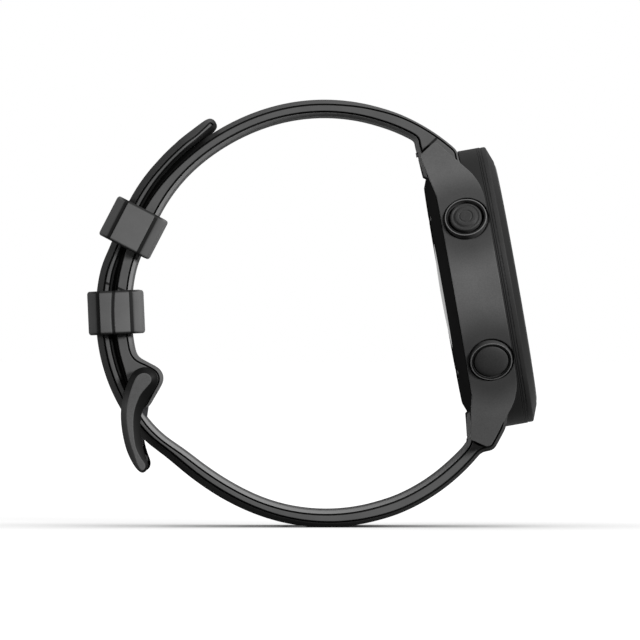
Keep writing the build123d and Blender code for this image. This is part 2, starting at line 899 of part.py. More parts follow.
def button_clip(name, angle):
    # an open ring pressed sideways into the groove of the stem
    with BuildPart() as clip:
        with BuildSketch(spoke(angle, button_v).offset(clip_outer_r - clip_thickness)):
            Circle(clip_r)
            Circle(stem_r - clip_groove_depth + clip_gap / 2, mode=Mode.SUBTRACT)
            with Locations((-clip_r / 2, 0)):
                Rectangle(clip_r, 2 * stem_r - 3 * clip_groove_depth, mode=Mode.SUBTRACT)
        extrude(amount=clip_thickness)
    clip.part.label = name + "_clip"
    return clip


def coil(name, plane, length, radius, wire, turns):
    # a helical spring standing on the plane, one wire shorter than its room
    height = length - 2 * wire
    with BuildPart() as spring:
        with BuildLine():
            path = Helix(height / turns, height, radius, center=plane.origin, direction=plane.z_dir)
        with BuildSketch(Plane(origin=path @ 0, z_dir=path % 0)):
            Circle(wire / 2)
        sweep(path=path)
    spring.part.label = name
    return spring


for name, angle in zip(button_names, button_angles):
    spring_plane = spoke(angle, button_v).offset(pocket_floor_r + spring_wire)
    spring_length = cap_base_r - pocket_floor_r
    pieces += [
        button(name, angle),
        button_seal(name, angle),
        button_clip(name, angle),
        coil(name + "_spring", spring_plane, spring_length, spring_coil_r, spring_wire, spring_turns),
    ]


# ---- quick-release bars at both lug pairs ----
tube_half = half_width - bar_tube_inset
tip_end = inner_half + bar_tip_reach
pin_r = bar_tube_r - bar_tube_wall - bar_fit
pin_inner = tip_end - bar_pin_length
lever_y = tip_end - bar_lever_inset
spring_stop = pin_inner - bar_spring_length
lever_dir = (-case.z_dir.X, -case.z_dir.Z)


def cross_plane(y):
    # the side view's plane moved to a place across the strap, its z towards -Y
    return Plane.XZ.offset(-y)


def lever_slot(sign, fit, depth):
    # the gap along the bar that the lever slides in
    centre = bar_place(sign)
    far = (centre[0] + depth * lever_dir[0], centre[1] + depth * lever_dir[1])
    half = bar_lever_r + fit
    corners = [
        beside(centre, case_lean, half),
        beside(far, case_lean, half),
        beside(far, case_lean, -half),
        beside(centre, case_lean, -half),
    ]
    with BuildPart() as slot:
        with BuildSketch(cross_plane(-lever_y - half)):
            Polygon(*corners, align=None)
        extrude(amount=-(bar_travel + 2 * half))
    return slot.part


def strap_bar(name, sign):
    slot = lever_slot(sign, lever_slot_fit / 2, 2 * bar_tube_r)
    with BuildPart() as tube:
        with BuildSketch(Plane.XZ):
            with Locations(bar_place(sign)):
                Circle(bar_tube_r)
        extrude(amount=tube_half, both=True)
        with BuildSketch(cross_plane(-tube_half)):
            with Locations(bar_place(sign)):
                Circle(bar_tube_r - bar_tube_wall)
        extrude(amount=-(tube_half - spring_stop), mode=Mode.SUBTRACT)
        with BuildSketch(cross_plane(tube_half)):
            with Locations(bar_place(sign)):
                Circle(pin_r)
        extrude(amount=-(tip_end - tube_half))
        add(slot, mode=Mode.SUBTRACT)
    tube.part.label = name
    return tube


def release_pin(name, sign):
    with BuildPart() as pin:
        with BuildSketch(cross_plane(-tip_end)):
            with Locations(bar_place(sign)):
                Circle(pin_r)
        extrude(amount=-bar_pin_length)
        centre = bar_place(sign)
        lever_origin = (centre[0], -lever_y, centre[1])
        with BuildSketch(Plane(origin=lever_origin, x_dir=(0, 1, 0), z_dir=(lever_dir[0], 0, lever_dir[1]))):
            Circle(bar_lever_r)
        extrude(amount=bar_lever_length)
    pin.part.label = name
    return pin


for name, sign in (("upper", 1), ("lower", -1)):
    centre = bar_place(sign)
    along = Plane(origin=(centre[0], -pin_inner + bar_spring_wire, centre[1]), z_dir=(0, 1, 0))
    pieces += [
        strap_bar(name + "_strap_bar", sign),
        release_pin(name + "_release_pin", sign),
        coil(name + "_bar_spring", along, bar_spring_length, bar_spring_r, bar_spring_wire, bar_spring_turns),
    ]


# ---- straps ----
def knuckle_outline(sign, heel_s):
    # the strap end between the lugs, proud of them front and back
    turn = radians(lug_front_turn)
    bend_v = plate_front_v - lug_front_radius * (1 - cos(turn)) + knuckle_front_proud * cos(turn)
    bend_s = lug_straight_s + lug_front_radius * sin(turn) + knuckle_front_proud * sin(turn)
    nose_v = lug_tip_v + knuckle_front_proud * cos(turn)
    nose_s = lug_tip_s + knuckle_front_proud * sin(turn)
    back_v = lug_heel_v - knuckle_back_proud
    corners = [
        (bend_v, knuckle_root_s),
        (bend_v, bend_s),
        (nose_v, nose_s),
        (knuckle_chin_v, nose_s),
        (back_v, heel_s),
        (back_v, knuckle_bow_s),
        (cover_heel_v, knuckle_root_s),
    ]
    return [case_point(v, lug_shift + sign * s) for v, s in corners]


def room_for_case(sign):
    # all that a strap end fits round: the case wall, the bar and its lever's way
    with BuildPart() as room:
        for radius, height in ((lower_wall_r, -cover_flange_v), (band_r, band_back_v - knuckle_clearance)):
            with BuildSketch(round_level(height)):
                Circle(radius + knuckle_clearance)
            extrude(amount=wall_front_v)
        with BuildSketch(Plane.XZ):
            with Locations(bar_place(sign)):
                Circle(bar_tube_r + bar_fit)
        extrude(amount=strap_width, both=True)
    return room.part + lever_slot(sign, lever_slot_fit, 2 * bar_lever_length)


def tangent_bridge(a, a_radius, b, b_radius):
    # the two circles and the band between their outer tangents
    lean = degrees(acos((a_radius - b_radius) / span(a, b)))
    course = bearing(a, b)
    for centre, radius in ((a, a_radius), (b, b_radius)):
        with Locations(centre):
            Circle(radius)
    Polygon(
        around(a, course + lean, a_radius),
        around(b, course + lean, b_radius),
        around(b, course - lean, b_radius),
        around(a, course - lean, a_radius),
        align=None,
    )


short_mid_end = beside(short_end, short_end_heading, short_thickness / 2)
toe = ahead(hinge, aim, knuckle_toe_reach)
tongue_slot_half = tongue_width / 2 + notch_side_clearance
with BuildPart() as short_strap:
    with BuildSketch(Plane.XZ):
        with BuildLine():
            outer_end, _ = draw_arcs(short_start, short_heading, short_arcs, 0)
            inner_end, _ = draw_arcs(short_start, short_heading, short_arcs, short_thickness)
            Line(outer_end, inner_end)
            Line(short_start, beside(short_start, short_heading, short_thickness))
        make_face()
        Polygon(*knuckle_outline(1, short_heel_s), align=None)
        tangent_bridge(hinge, knuckle_r, short_mid_end, short_thickness / 2)
        tangent_bridge(hinge, knuckle_r, toe, knuckle_toe_r)
    extrude(amount=half_width, both=True)
    add(room_for_case(1), mode=Mode.SUBTRACT)
    with BuildSketch(Plane.XZ):
        with Locations(hinge):
            Circle(buckle_bar_r + bar_bore_fit)
    extrude(amount=strap_width, both=True, mode=Mode.SUBTRACT)
    with BuildSketch(Plane.XZ):
        tangent_bridge(hinge, knuckle_r + 0.5, toe, knuckle_r)
    extrude(amount=tongue_slot_half, both=True, mode=Mode.SUBTRACT)
short_strap.part.label = "short_strap"

tip_end_point = ahead(tip_start, tip_heading, tip_straight)


def arc_length(arcs):
    return sum(radius * radians(abs(turn)) for radius, turn in arcs)


def station(distance):
    # a point inside the long strap and its heading, a distance along the outer face
    point, heading = long_start, long_heading
    for radius, turn in long_arcs:
        share = min(distance / (radius * radians(abs(turn))), 1)
        if share > 0:
            point, heading = after_arc(point, heading, radius, turn * share)
        distance -= radius * radians(abs(turn)) * share
    return beside(point, heading, -long_thickness / 2), heading


tongue_station = arc_length(long_arcs[:2]) + crossing_radius * radians(
    wrapped(bearing(crossing_centre, crossing_start) - tongue_crossing_angle)
)
with BuildPart() as long_strap:
    with BuildSketch(Plane.XZ):
        with BuildLine():
            outer_end, _ = draw_arcs(long_start, long_heading, long_arcs, 0)
            inner_start, inner_arcs = long_face(long_thickness, tip_thickness)
            inner_end, _ = draw_arcs(inner_start, long_heading, inner_arcs, 0)
            inner_tip = beside(tip_end_point, tip_heading, -tip_thickness)
            Polyline(outer_end, tip_end_point, inner_tip, inner_end)
            Line(long_start, inner_start)
        make_face()
        Polygon(*knuckle_outline(-1, long_heel_s), align=None)
    extrude(amount=half_width, both=True)
    with BuildSketch(flat_plane(tip_end_point, tip_heading)):
        for side in (-1, 1):
            with Locations((-tip_corner_r / 2, side * (half_width - tip_corner_r / 2))):
                Rectangle(tip_corner_r, tip_corner_r)
            with Locations((-tip_corner_r, side * (half_width - tip_corner_r))):
                Circle(tip_corner_r, mode=Mode.SUBTRACT)
    extrude(amount=2 * long_thickness, both=True, mode=Mode.SUBTRACT)
    add(room_for_case(-1), mode=Mode.SUBTRACT)
    for index in range(-holes_towards_case, holes_towards_tip + 1):
        point, heading = station(tongue_station + index * hole_pitch)
        with BuildSketch(flat_plane(point, heading)):
            SlotOverall(hole_length, hole_width)
        extrude(amount=long_thickness, both=True, mode=Mode.SUBTRACT)
long_strap.part.label = "long_strap"

# ---- keepers round both strap layers ----
layers_inner_r = short_back_r - short_thickness
layers_depth = short_thickness + bulge_offset


def keeper(name, angle):
    # the flat inner wall also clears the strap's curve along the keeper's length
    sag = layers_inner_r - sqrt(layers_inner_r**2 - (keeper_length / 2) ** 2)
    middle = around(back_centre, angle, layers_inner_r + layers_depth / 2)
    with BuildPart() as band:
        with BuildSketch(side_plane(middle, angle + 90)) as section:
            with Locations((-keeper_inward_shift, 0)):
                Rectangle(keeper_depth, keeper_width)
            chamfer(section.vertices(), keeper_bevel)
            with Locations((-sag / 2, 0)):
                Rectangle(
                    layers_depth + 2 * keeper_fit + sag,
                    strap_width + 2 * keeper_side_fit,
                    mode=Mode.SUBTRACT,
                )
        extrude(amount=keeper_length / 2, both=True)
    band.part.label = name
    return band


pieces += [keeper("free_keeper", free_keeper_angle), keeper("fixed_keeper", fixed_keeper_angle)]

# ---- buckle ----
arm_inner = half_width + arm_clearance
arm_outer = arm_inner + arm_thickness
bar_half = arm_inner + arm_thickness * 2 / 3
frame_tail_point = ahead(crossbar, aim, frame_tail)
frame_middle = ((hinge[0] + frame_tail_point[0]) / 2, (hinge[1] + frame_tail_point[1]) / 2)
frame_bow = beside(frame_middle, aim, -frame_bulge)
with BuildPart() as buckle_frame:
    for y in (-arm_outer, arm_inner):
        with BuildSketch(cross_plane(y)):
            with BuildLine():
                ThreePointArc(hinge, frame_bow, frame_tail_point)
                offset(amount=arm_width / 2)
            make_face()
        extrude(amount=-arm_thickness)
    with BuildSketch(Plane.XZ):
        with Locations(crossbar):
            Circle(crossbar_r)
    extrude(amount=arm_outer, both=True)
    with BuildSketch(Plane.XZ):
        with Locations(hinge):
            Circle(buckle_bar_r + bar_bore_fit)
    extrude(amount=bar_half + bar_bore_fit, both=True, mode=Mode.SUBTRACT)
    with BuildSketch(Plane.XZ):
        Polygon(
            ahead(crossbar, aim, -2 * crossbar_r),
            ahead(crossbar, aim, 2 * crossbar_r),
            beside(ahead(crossbar, aim, 2 * crossbar_r), aim, -2 * crossbar_r),
            beside(ahead(crossbar, aim, -2 * crossbar_r), aim, -2 * crossbar_r),
            align=None,
        )
    extrude(amount=tongue_slot_half, both=True, mode=Mode.SUBTRACT)
buckle_frame.part.label = "buckle_frame"

tongue_tip = ahead(hinge, aim, frame_reach + tongue_overhang)
with BuildPart() as buckle_tongue:
    with BuildSketch(Plane.XZ):
        with Locations(hinge):
            Circle(tongue_eye_r)
        tangent_bridge(hinge, tongue_thickness / 2 + 0.01, tongue_tip, tongue_thickness / 2)
        with Locations(hinge):
            Circle(buckle_bar_r + bar_bore_fit, mode=Mode.SUBTRACT)
    extrude(amount=tongue_width / 2, both=True)
buckle_tongue.part.label = "buckle_tongue"

with BuildPart() as buckle_bar:
    with BuildSketch(Plane.XZ):
        with Locations(hinge):
            Circle(buckle_bar_r)
    extrude(amount=bar_half, both=True)
buckle_bar.part.label = "buckle_bar"

pieces += [
    mid_case,
    bezel,
    front_lens,
    lens_seal,
    dial_ring,
    display_panel,
    display_flex,
    main_board,
    shield_cans,
    gps_antenna,
    inner_frame,
    button_switches,
    battery,
    motor_housing,
    motor_rotor,
    buzzer,
    rear_cover,
    rear_gasket,
    rear_screws,
    sensor_window,
    sensor_board,
    sensor_leds,
    photodiodes,
    sensor_flex,
    contact_block,
    charge_contacts,
    short_strap,
    long_strap,
    buckle_frame,
    buckle_tongue,
    buckle_bar,
]

os.makedirs("parts", exist_ok=True)
for piece in pieces:
    export_step(piece.part, "parts/" + piece.part.label + ".step")
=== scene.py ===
import bmesh
import bpy
import json
from itertools import product
from math import atan2, cos, degrees, hypot, pi, radians, sin, sqrt
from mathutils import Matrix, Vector
from mathutils.bvhtree import BVHTree
from mathutils.interpolate import poly_3d_calc

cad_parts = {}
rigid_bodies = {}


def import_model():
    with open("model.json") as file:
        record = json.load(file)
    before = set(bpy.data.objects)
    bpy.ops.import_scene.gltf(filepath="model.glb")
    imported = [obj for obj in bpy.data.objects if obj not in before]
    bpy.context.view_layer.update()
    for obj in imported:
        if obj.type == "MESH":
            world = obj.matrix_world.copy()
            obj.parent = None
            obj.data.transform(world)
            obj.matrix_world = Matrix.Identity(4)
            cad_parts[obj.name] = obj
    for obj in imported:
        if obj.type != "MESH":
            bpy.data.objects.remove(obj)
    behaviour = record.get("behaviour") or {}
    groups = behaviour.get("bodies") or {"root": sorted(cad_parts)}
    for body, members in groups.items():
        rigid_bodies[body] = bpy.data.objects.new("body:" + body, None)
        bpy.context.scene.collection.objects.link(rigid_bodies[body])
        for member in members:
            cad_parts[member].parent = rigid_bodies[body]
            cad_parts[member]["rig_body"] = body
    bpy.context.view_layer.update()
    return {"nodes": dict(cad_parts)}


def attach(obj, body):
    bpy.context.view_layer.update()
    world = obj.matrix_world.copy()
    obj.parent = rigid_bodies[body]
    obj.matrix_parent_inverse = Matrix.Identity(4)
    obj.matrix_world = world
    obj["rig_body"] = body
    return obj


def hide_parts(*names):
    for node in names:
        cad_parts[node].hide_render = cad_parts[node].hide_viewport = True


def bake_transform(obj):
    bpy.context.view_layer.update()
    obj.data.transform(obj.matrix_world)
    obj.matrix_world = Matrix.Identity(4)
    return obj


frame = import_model()
nodes = frame["nodes"]
scene = bpy.context.scene
mm = 0.001
print("watch frame loaded:", len(nodes), "nodes")

# where the case stands, and its own directions: across, towards 12 o'clock, to the front
casePlace = {"lean": 10.05, "x": 19.62, "z": 34.94, "buttonHeight": 5.4}
lean = radians(casePlace["lean"])
caseOrigin = Vector((casePlace["x"], 0, casePlace["z"])) * mm
across = Vector((0, 1, 0))
twelve = Vector((-sin(lean), 0, cos(lean)))
front = Vector((cos(lean), 0, sin(lean)))
loopCentre = (1.231, 32.741)  # the middle of the straps' loop, x and z

# the buttons' angles round the case are counted from its right side
buttonCentre = caseOrigin + front * casePlace["buttonHeight"] * mm
buttonAngles = {
    "left_upper_button": 150,
    "left_lower_button": 210,
    "right_upper_button": 30,
    "right_middle_button": 0,
    "right_lower_button": -30,
}


def buttonAxis(angle):
    return across * cos(radians(angle)) + twelve * sin(radians(angle))


def clamped(value):
    return min(max(value, 0.0), 1.0)


class Signal:
    # a node's socket that stands in an expression
    def __init__(self, graph, socket):
        self.graph = graph
        self.socket = socket

    def __add__(self, other):
        return self.graph.maths("ADD", self, other)

    def __radd__(self, other):
        return self.graph.maths("ADD", other, self)

    def __sub__(self, other):
        return self.graph.maths("SUBTRACT", self, other)

    def __rsub__(self, other):
        return self.graph.maths("SUBTRACT", other, self)

    def __mul__(self, other):
        return self.graph.maths("MULTIPLY", self, other)

    def __rmul__(self, other):
        return self.graph.maths("MULTIPLY", other, self)

    def absolute(self):
        return self.graph.maths("ABSOLUTE", self)

    def sine(self):
        return self.graph.maths("SINE", self)

    def out(self, name):
        return Signal(self.graph, self.socket.node.outputs[name])


class Graph:
    # adds nodes to the tree of a finish or of a modifier
    def __init__(self, tree):
        self.tree = tree

    def node(self, kind, settings=None, inputs=None, output=0):
        made = self.tree.nodes.new(kind)
        for key, value in (settings or {}).items():
            setattr(made, key, value)
        for key, value in (inputs or {}).items():
            for one in value if isinstance(value, list) else [value]:
                if isinstance(one, Signal):
                    self.tree.links.new(one.socket, made.inputs[key])
                else:
                    made.inputs[key].default_value = one
        return Signal(self, made.outputs[output]) if len(made.outputs) else None

    def maths(self, operation, first, second=0.0):
        return self.node("ShaderNodeMath", {"operation": operation}, {0: first, 1: second})

    def vector(self, operation, first, second=None, output=0):
        inputs = {0: first} if second is None else {0: first, 1: second}
        return self.node("ShaderNodeVectorMath", {"operation": operation}, inputs, output)

    def scaled(self, vector, amount):
        return self.node("ShaderNodeVectorMath", {"operation": "SCALE"}, {0: vector, "Scale": amount})

    def joined(self, x, y, z):
        return self.node("ShaderNodeCombineXYZ", None, {0: x, 1: y, 2: z})

    def step(self, value, low, high, start=0.0, end=1.0):
        inputs = {"Value": value, "From Min": low, "From Max": high, "To Min": start, "To Max": end}
        return self.node("ShaderNodeMapRange", {"interpolation_type": "SMOOTHSTEP"}, inputs)


class Finish(Graph):
    # one finish of the watch, with the sources that its patterns share
    def __init__(self, name):
        self.material = bpy.data.materials.new(name)
        self.material.use_nodes = True
        super().__init__(self.material.node_tree)
        self.shader = self.tree.nodes["Principled BSDF"]
        self.place = self.node("ShaderNodeTexCoord", output="Object")

    def surface(self, values):
        for key, value in values.items():
            if isinstance(value, Signal):
                self.tree.links.new(value.socket, self.shader.inputs[key])
            else:
                self.shader.inputs[key].default_value = value

    def soFar(self, key):
        # what already feeds a socket of the surface
        return Signal(self, self.shader.inputs[key].links[0].from_socket)

    def stored(self, name):
        return self.node("ShaderNodeAttribute", {"attribute_name": name}, None, "Fac")

    def noise(self, perMetre, detail=3.0, stretch=(1, 1, 1)):
        spread = self.node("ShaderNodeMapping", None, {"Vector": self.place, "Scale": stretch})
        return self.node("ShaderNodeTexNoise", None, {"Vector": spread, "Scale": perMetre, "Detail": detail})

    def blend(self, share, first, second):
        return self.node("ShaderNodeMix", {"data_type": "RGBA"}, {0: share, 6: first, 7: second}, 2)

    def bump(self, height, strength, distance, normal=None):
        inputs = {"Height": height, "Strength": strength, "Distance": distance}
        if normal is not None:
            inputs["Normal"] = normal
        return self.node("ShaderNodeBump", None, inputs)

    def roundedEdge(self, radius):
        # the softened normal of an edge, and how far it turns from the face's own
        soft = self.node("ShaderNodeBevel", {"samples": 4}, {"Radius": radius})
        true = self.node("ShaderNodeNewGeometry", output="Normal")
        return soft, 1 - self.vector("DOT_PRODUCT", soft, true, "Value")

    def fromCase(self, direction):
        # millimetres from the middle of the case's rear, along one of its directions
        away = self.vector("SUBTRACT", self.place, caseOrigin[:])
        return self.vector("DOT_PRODUCT", away, (direction * 1000)[:], "Value")

    def caseRadius(self):
        # millimetres from the case's axis
        away = self.vector("SUBTRACT", self.place, caseOrigin[:])
        sideways = self.vector("DOT_PRODUCT", away, (across * 1000)[:], "Value")
        upwards = self.vector("DOT_PRODUCT", away, (twelve * 1000)[:], "Value")
        return self.vector("LENGTH", self.joined(sideways, upwards, 0.0), None, "Value")


def grey(level, warmth=0.0):
    return (level * (1 + warmth), level, level * (1 - warmth), 1)


def mouldedPlastic(name, look):
    # fine spark-eroded texture, faint flow marks, and edges rubbed a little lighter
    finish = Finish(name)
    level = look["level"]
    soft, edge = finish.roundedEdge(look["edgeRadius"])
    flow = finish.noise(90, 4)
    grain = finish.noise(look["grain"], 2)
    rubbed = finish.step(edge, 0.004, 0.09) * finish.step(finish.noise(600, 3), 0.3, 0.75)
    shade = finish.blend(finish.step(flow, 0.3, 0.7), grey(level * 0.88), grey(level * 1.12))
    speck = finish.blend(finish.step(grain, 0.35, 0.65), grey(0.0), shade)
    toned = finish.blend(look["speckle"], shade, speck)
    finish.surface({
        "Base Color": finish.blend(rubbed * look["edgeLift"], toned, grey(level * 2.1)),
        "Roughness": finish.step(flow, 0.2, 0.8, look["roughness"] - 0.05, look["roughness"] + 0.06),
        "Normal": finish.bump(grain, look["texture"], 0.00003, soft),
        "Specular IOR Level": look["shine"],
    })
    return finish


def caseShell(name, look):
    # the moulded shell: fine turned lines round its front band, a dark rear wall, painted shade round the
    # buttons and on their collars, and a painted highlight on the collars' rims
    finish = mouldedPlastic(name, look)
    height, radius = finish.fromCase(front), finish.caseRadius()
    ring = finish.step(radius, *look["bandInner"]) * (1 - finish.step(radius, *look["bandOuter"]))
    band = ring * finish.step(height, *look["bandFrom"])
    lines = 0.0
    for spot in look["lines"]:
        lines = (1 - finish.step((height - spot).absolute(), 0.03, 0.09)) + lines
    engraved = band * lines
    wall = (1 - finish.step(radius, *look["wallRadius"])) * finish.step(height, *look["wallFrom"])
    collars, tops, rims, near = 0.0, 0.0, 0.0, 0.0
    # for each button: painted shade on its collar, painted black shade on the collar's top next to the
    # button, a painted highlight on the collar's rim, and painted shade on the plate round it
    for angle in buttonAngles.values():
        away = finish.vector("SUBTRACT", finish.place, buttonCentre[:])
        axis = (buttonAxis(angle) * 1000)[:]
        off = finish.vector("LENGTH", finish.vector("CROSS_PRODUCT", away, axis), None, "Value")
        along = finish.vector("DOT_PRODUCT", away, axis, "Value")
        inside = (1 - finish.step(off, *look["collarRadius"])) * finish.step(along, *look["collarFrom"])
        top = inside * finish.step(along, *look["topFrom"])
        collars = inside + collars
        near = (1 - finish.step(off, *look["shadeReach"])) * finish.step(along, *look["shadeFrom"]) + near
        tops = top + tops
        rims = top * finish.step(off, *look["rimRadius"]) + rims
    colour = finish.soFar("Base Color")
    # the painted shade round the buttons, the dark wall, the collars' painted shade, black shade and rim
    # highlights, then the dark turned lines
    for share, level in (
        (near * look["shade"], look["level"] * 0.2),
        (wall, look["wallLevel"]),
        (collars, look["collarLevel"]),
        (tops, look["topLevel"]),
        (rims, look["rimLevel"]),
        (engraved * 0.8, look["level"] * 0.1),
    ):
        colour = finish.blend(share, colour, grey(level))
    finish.surface({
        "Base Color": colour,
        "Normal": finish.bump(1 - engraved, 0.6, 0.00012, finish.soFar("Normal")),
    })
    return finish


def bezelPlastic(name, look):
    # the sloping front is blasted darker than the turned side
    finish = mouldedPlastic(name, look)
    slope = finish.step(finish.fromCase(front), *look["slopeFrom"])
    tone = grey(look["level"] * look["frontTone"])
    finish.surface({"Base Color": finish.blend(slope * 0.9, finish.soFar("Base Color"), tone)})
    return finish


def clawPlastic(name, look):
    # painted shade on the broad low edges of the arms, near black on the strap's side and lighter outside
    finish = mouldedPlastic(name, look)
    tones = grey(look["level"] * look["innerTone"]), grey(look["level"] * look["outerTone"])
    edges = finish.blend(finish.stored("outside"), *tones)
    colour = finish.blend(finish.stored("bevel") * 0.98, finish.soFar("Base Color"), edges)
    finish.surface({"Base Color": colour})
    return finish


def silicone(name, look):
    # matte rubber: very fine bloom, soft mottling, and a little lint
    finish = Finish(name)
    level = look["level"]
    soft, edge = finish.roundedEdge(look["edgeRadius"])
    mottle = finish.noise(140, 5)
    bloom = finish.noise(5200, 2)
    lint = finish.step(finish.noise(1500, 6), 0.66, 0.78)
    shade = finish.blend(finish.step(mottle, 0.3, 0.7), grey(level * 0.9), grey(level * 1.1))
    dusty = finish.blend(lint * look["dust"], shade, grey(level * 2.2, 0.03))
    finish.surface({
        "Base Color": finish.blend(finish.step(edge, 0.01, 0.2) * 0.25, dusty, grey(level * 1.6)),
        "Roughness": finish.step(bloom, 0.25, 0.75, look["roughness"] - 0.06, look["roughness"] + 0.05),
        "Normal": finish.bump(bloom, look["texture"], 0.00002, soft),
        "Specular IOR Level": look["shine"],
        "Sheen Weight": look["sheen"],
        "Sheen Roughness": 0.45,
    })
    return finish


def strapRubber(name, look):
    # painted light and shade: pale inner bevels and dark outer ones, painted black shade between the layers,
    # painted shade in the creases, and a painted shadow beside each lug
    finish = silicone(name, look)
    bevel, outside = finish.stored("bevel"), finish.stored("outside")
    tones = grey(look["level"] * look["innerTone"]), grey(look["level"] * look["outerTone"])
    edges = finish.blend(finish.step(outside, 1.1, 1.9), finish.blend(outside, *tones), grey(0.001))
    toned = finish.blend(bevel * 0.94, finish.soFar("Base Color"), edges)
    # painted shadow on the strap's side where it meets the end of each lug
    forwards = finish.fromCase(front) - look["lugTip"][0]
    upwards = finish.fromCase(twelve)
    along, up = look["lugSlope"]
    hollow = 0.0
    for upper, rise in ((1, upwards), (-1, 0 - upwards)):
        off = forwards * -along + (rise - look["lugTip"][1] - look["lugShift"] * upper) * up
        ended = 1 - finish.step(off, look["hollow"] * 0.6, look["hollow"])
        hollow = finish.step(off, -0.05, 0.02) * ended + hollow
    side = finish.fromCase(across).absolute()
    hollow = hollow * finish.step(side, *look["hollowFrom"]) * (1 - bevel)
    # the creases' painted shade and the painted shadow beside the lugs, both near black
    dark = finish.maths("MAXIMUM", finish.stored("crease"), hollow * 0.93)
    finish.surface({"Base Color": finish.blend(dark * 0.97, toned, grey(0.0015))})
    return finish


def keeperRubber(name, look):
    # the same rubber, with painted shade in the grooves along its sides and on the rims of its ends
    finish = silicone(name, look)
    groove = finish.stored("crease") * 0.95
    finish.surface({"Base Color": finish.blend(groove, finish.soFar("Base Color"), grey(0.002))})
    return finish


def fixedKeeperRubber(name, look):
    # a groove following the gap between the two straps, painted near black as its shade
    finish = keeperRubber(name, look)
    away = finish.vector("SUBTRACT", finish.place, (loopCentre[0] * mm, 0, loopCentre[1] * mm))
    radius = finish.vector("LENGTH", finish.vector("MULTIPLY", away, (1000, 0, 1000)), None, "Value")
    off = (radius - look["seamRadius"]).absolute()
    seam = 1 - finish.step(off, look["seamWidth"] * 0.3, look["seamWidth"])
    finish.surface({
        "Base Color": finish.blend(seam * 0.92, finish.soFar("Base Color"), grey(0.002)),
        "Normal": finish.bump(1 - seam, 0.8, 0.0002, finish.soFar("Normal")),
    })
    return finish


def crystal(name, look):
    # a clear front with a dark printed rim underneath
    finish = Finish(name)
    rim = finish.step(finish.caseRadius(), look["clearRadius"], look["clearRadius"] + 0.15)
    finish.surface({
        "Base Color": grey(look["level"]),
        "Roughness": finish.step(finish.noise(260, 4), 0.35, 0.8, 0.04, 0.1),
        "Alpha": finish.step(rim, 0.0, 1.0, look["clearness"], 0.97),
        "IOR": 1.5,
        "Coat Weight": 0.4,
        "Coat Roughness": 0.03,
    })
    return finish


def reflectivePanel(name, look):
    # an unlit transflective display: fine cells under a dull grey-green polariser
    finish = Finish(name)
    apart = finish.node("ShaderNodeSeparateXYZ", None, {0: finish.place})
    columns, rows = ((apart.out(way) * look["cells"]).sine().absolute() for way in "YZ")
    cells = finish.step(columns * rows, 0.0, 0.25)
    haze = finish.noise(24, 1)
    tint = finish.blend(finish.step(haze, 0.2, 0.8), look["dark"], look["light"])
    contrast = look["cellContrast"]
    finish.surface({
        "Base Color": finish.blend(cells * contrast + (1 - contrast), grey(0.01), tint),
        "Roughness": finish.step(haze, 0.2, 0.8, 0.22, 0.32),
        "Metallic": 0.35,
    })
    return finish


def darkWindow(name, look):
    # smoked resin over the sensors, clearer over the middle
    finish = Finish(name)
    rings = finish.step(finish.caseRadius(), *look["clearRadius"])
    finish.surface({
        "Base Color": finish.blend(rings, grey(look["level"]), grey(look["level"] * 0.4)),
        "Roughness": finish.step(finish.noise(400, 3), 0.3, 0.8, 0.05, 0.12),
        "Alpha": finish.step(rings, 0.0, 1.0, look["cover"], 1.0),
        "Coat Weight": 0.1,
    })
    return finish


def metal(name, colour, roughness, perMetre, stretch):
    # drawn or turned metal: fine lines one way, and small stains in the roughness
    finish = Finish(name)
    lines = finish.noise(perMetre, 3, stretch)
    soft, edge = finish.roundedEdge(0.00006)
    dark = tuple(c * 0.75 for c in colour) + (1,)
    bright = tuple(min(c * 1.1, 1.0) for c in colour) + (1,)
    finish.surface({
        "Base Color": finish.blend(finish.step(lines, 0.3, 0.7) * 0.6 + edge, dark, bright),
        "Metallic": 1.0,
        "Roughness": finish.step(finish.noise(900, 4), 0.3, 0.75, roughness, roughness + 0.14),
        "Normal": finish.bump(lines, 0.25, 0.00001, soft),
    })
    return finish


def circuitBoard(name, look):
    # green mask over copper tracks, with tinned pads showing through
    finish = Finish(name)
    spread = finish.node("ShaderNodeMapping", None, {"Vector": finish.place, "Rotation": (0, -lean, 0)})
    inputs = {"Vector": spread, "Scale": 420.0, "Mortar Size": 0.03, "Mortar": grey(1.0)}
    inputs |= {"Color1": grey(0.0), "Color2": grey(0.0)}
    tracks = finish.node("ShaderNodeTexBrick", {"offset": 0.35}, inputs)
    pads = finish.node("ShaderNodeTexVoronoi", None, {"Vector": finish.place, "Scale": 700.0})
    pad = 1 - finish.step(pads, 0.1, 0.16)
    finish.surface({
        "Base Color": finish.blend(pad, finish.blend(tracks, look["mask"], look["track"]), look["tin"]),
        "Metallic": pad * 0.9,
        "Roughness": finish.step(finish.noise(500, 3), 0.3, 0.7, 0.35, 0.5),
        "Normal": finish.bump(tracks, 0.3, 0.00002),
    })
    return finish


def filmFlex(name, look):
    # amber polyimide film with copper lines under it
    finish = Finish(name)
    apart = finish.node("ShaderNodeSeparateXYZ", None, {0: finish.place})
    copper = finish.step((apart.out("Y") * look["lines"]).sine(), 0.1, 0.5)
    finish.surface({
        "Base Color": finish.blend(copper, look["film"], look["copper"]),
        "Roughness": finish.step(finish.noise(800, 2), 0.3, 0.7, 0.25, 0.4),
        "Coat Weight": 0.3,
    })
    return finish


def foilCell(name, look):
    # a laminated foil pouch, faintly wrinkled, with taped ends
    finish = Finish(name)
    wrinkles = finish.noise(300, 5)
    tape = finish.step(finish.fromCase(twelve).absolute(), *look["tapeFrom"])
    finish.surface({
        "Base Color": finish.blend(tape, look["foil"], look["tape"]),
        "Metallic": 1 - tape,
        "Roughness": finish.step(wrinkles, 0.3, 0.7, 0.3, 0.48),
        "Normal": finish.bump(wrinkles, 0.4, 0.00008),
    })
    return finish


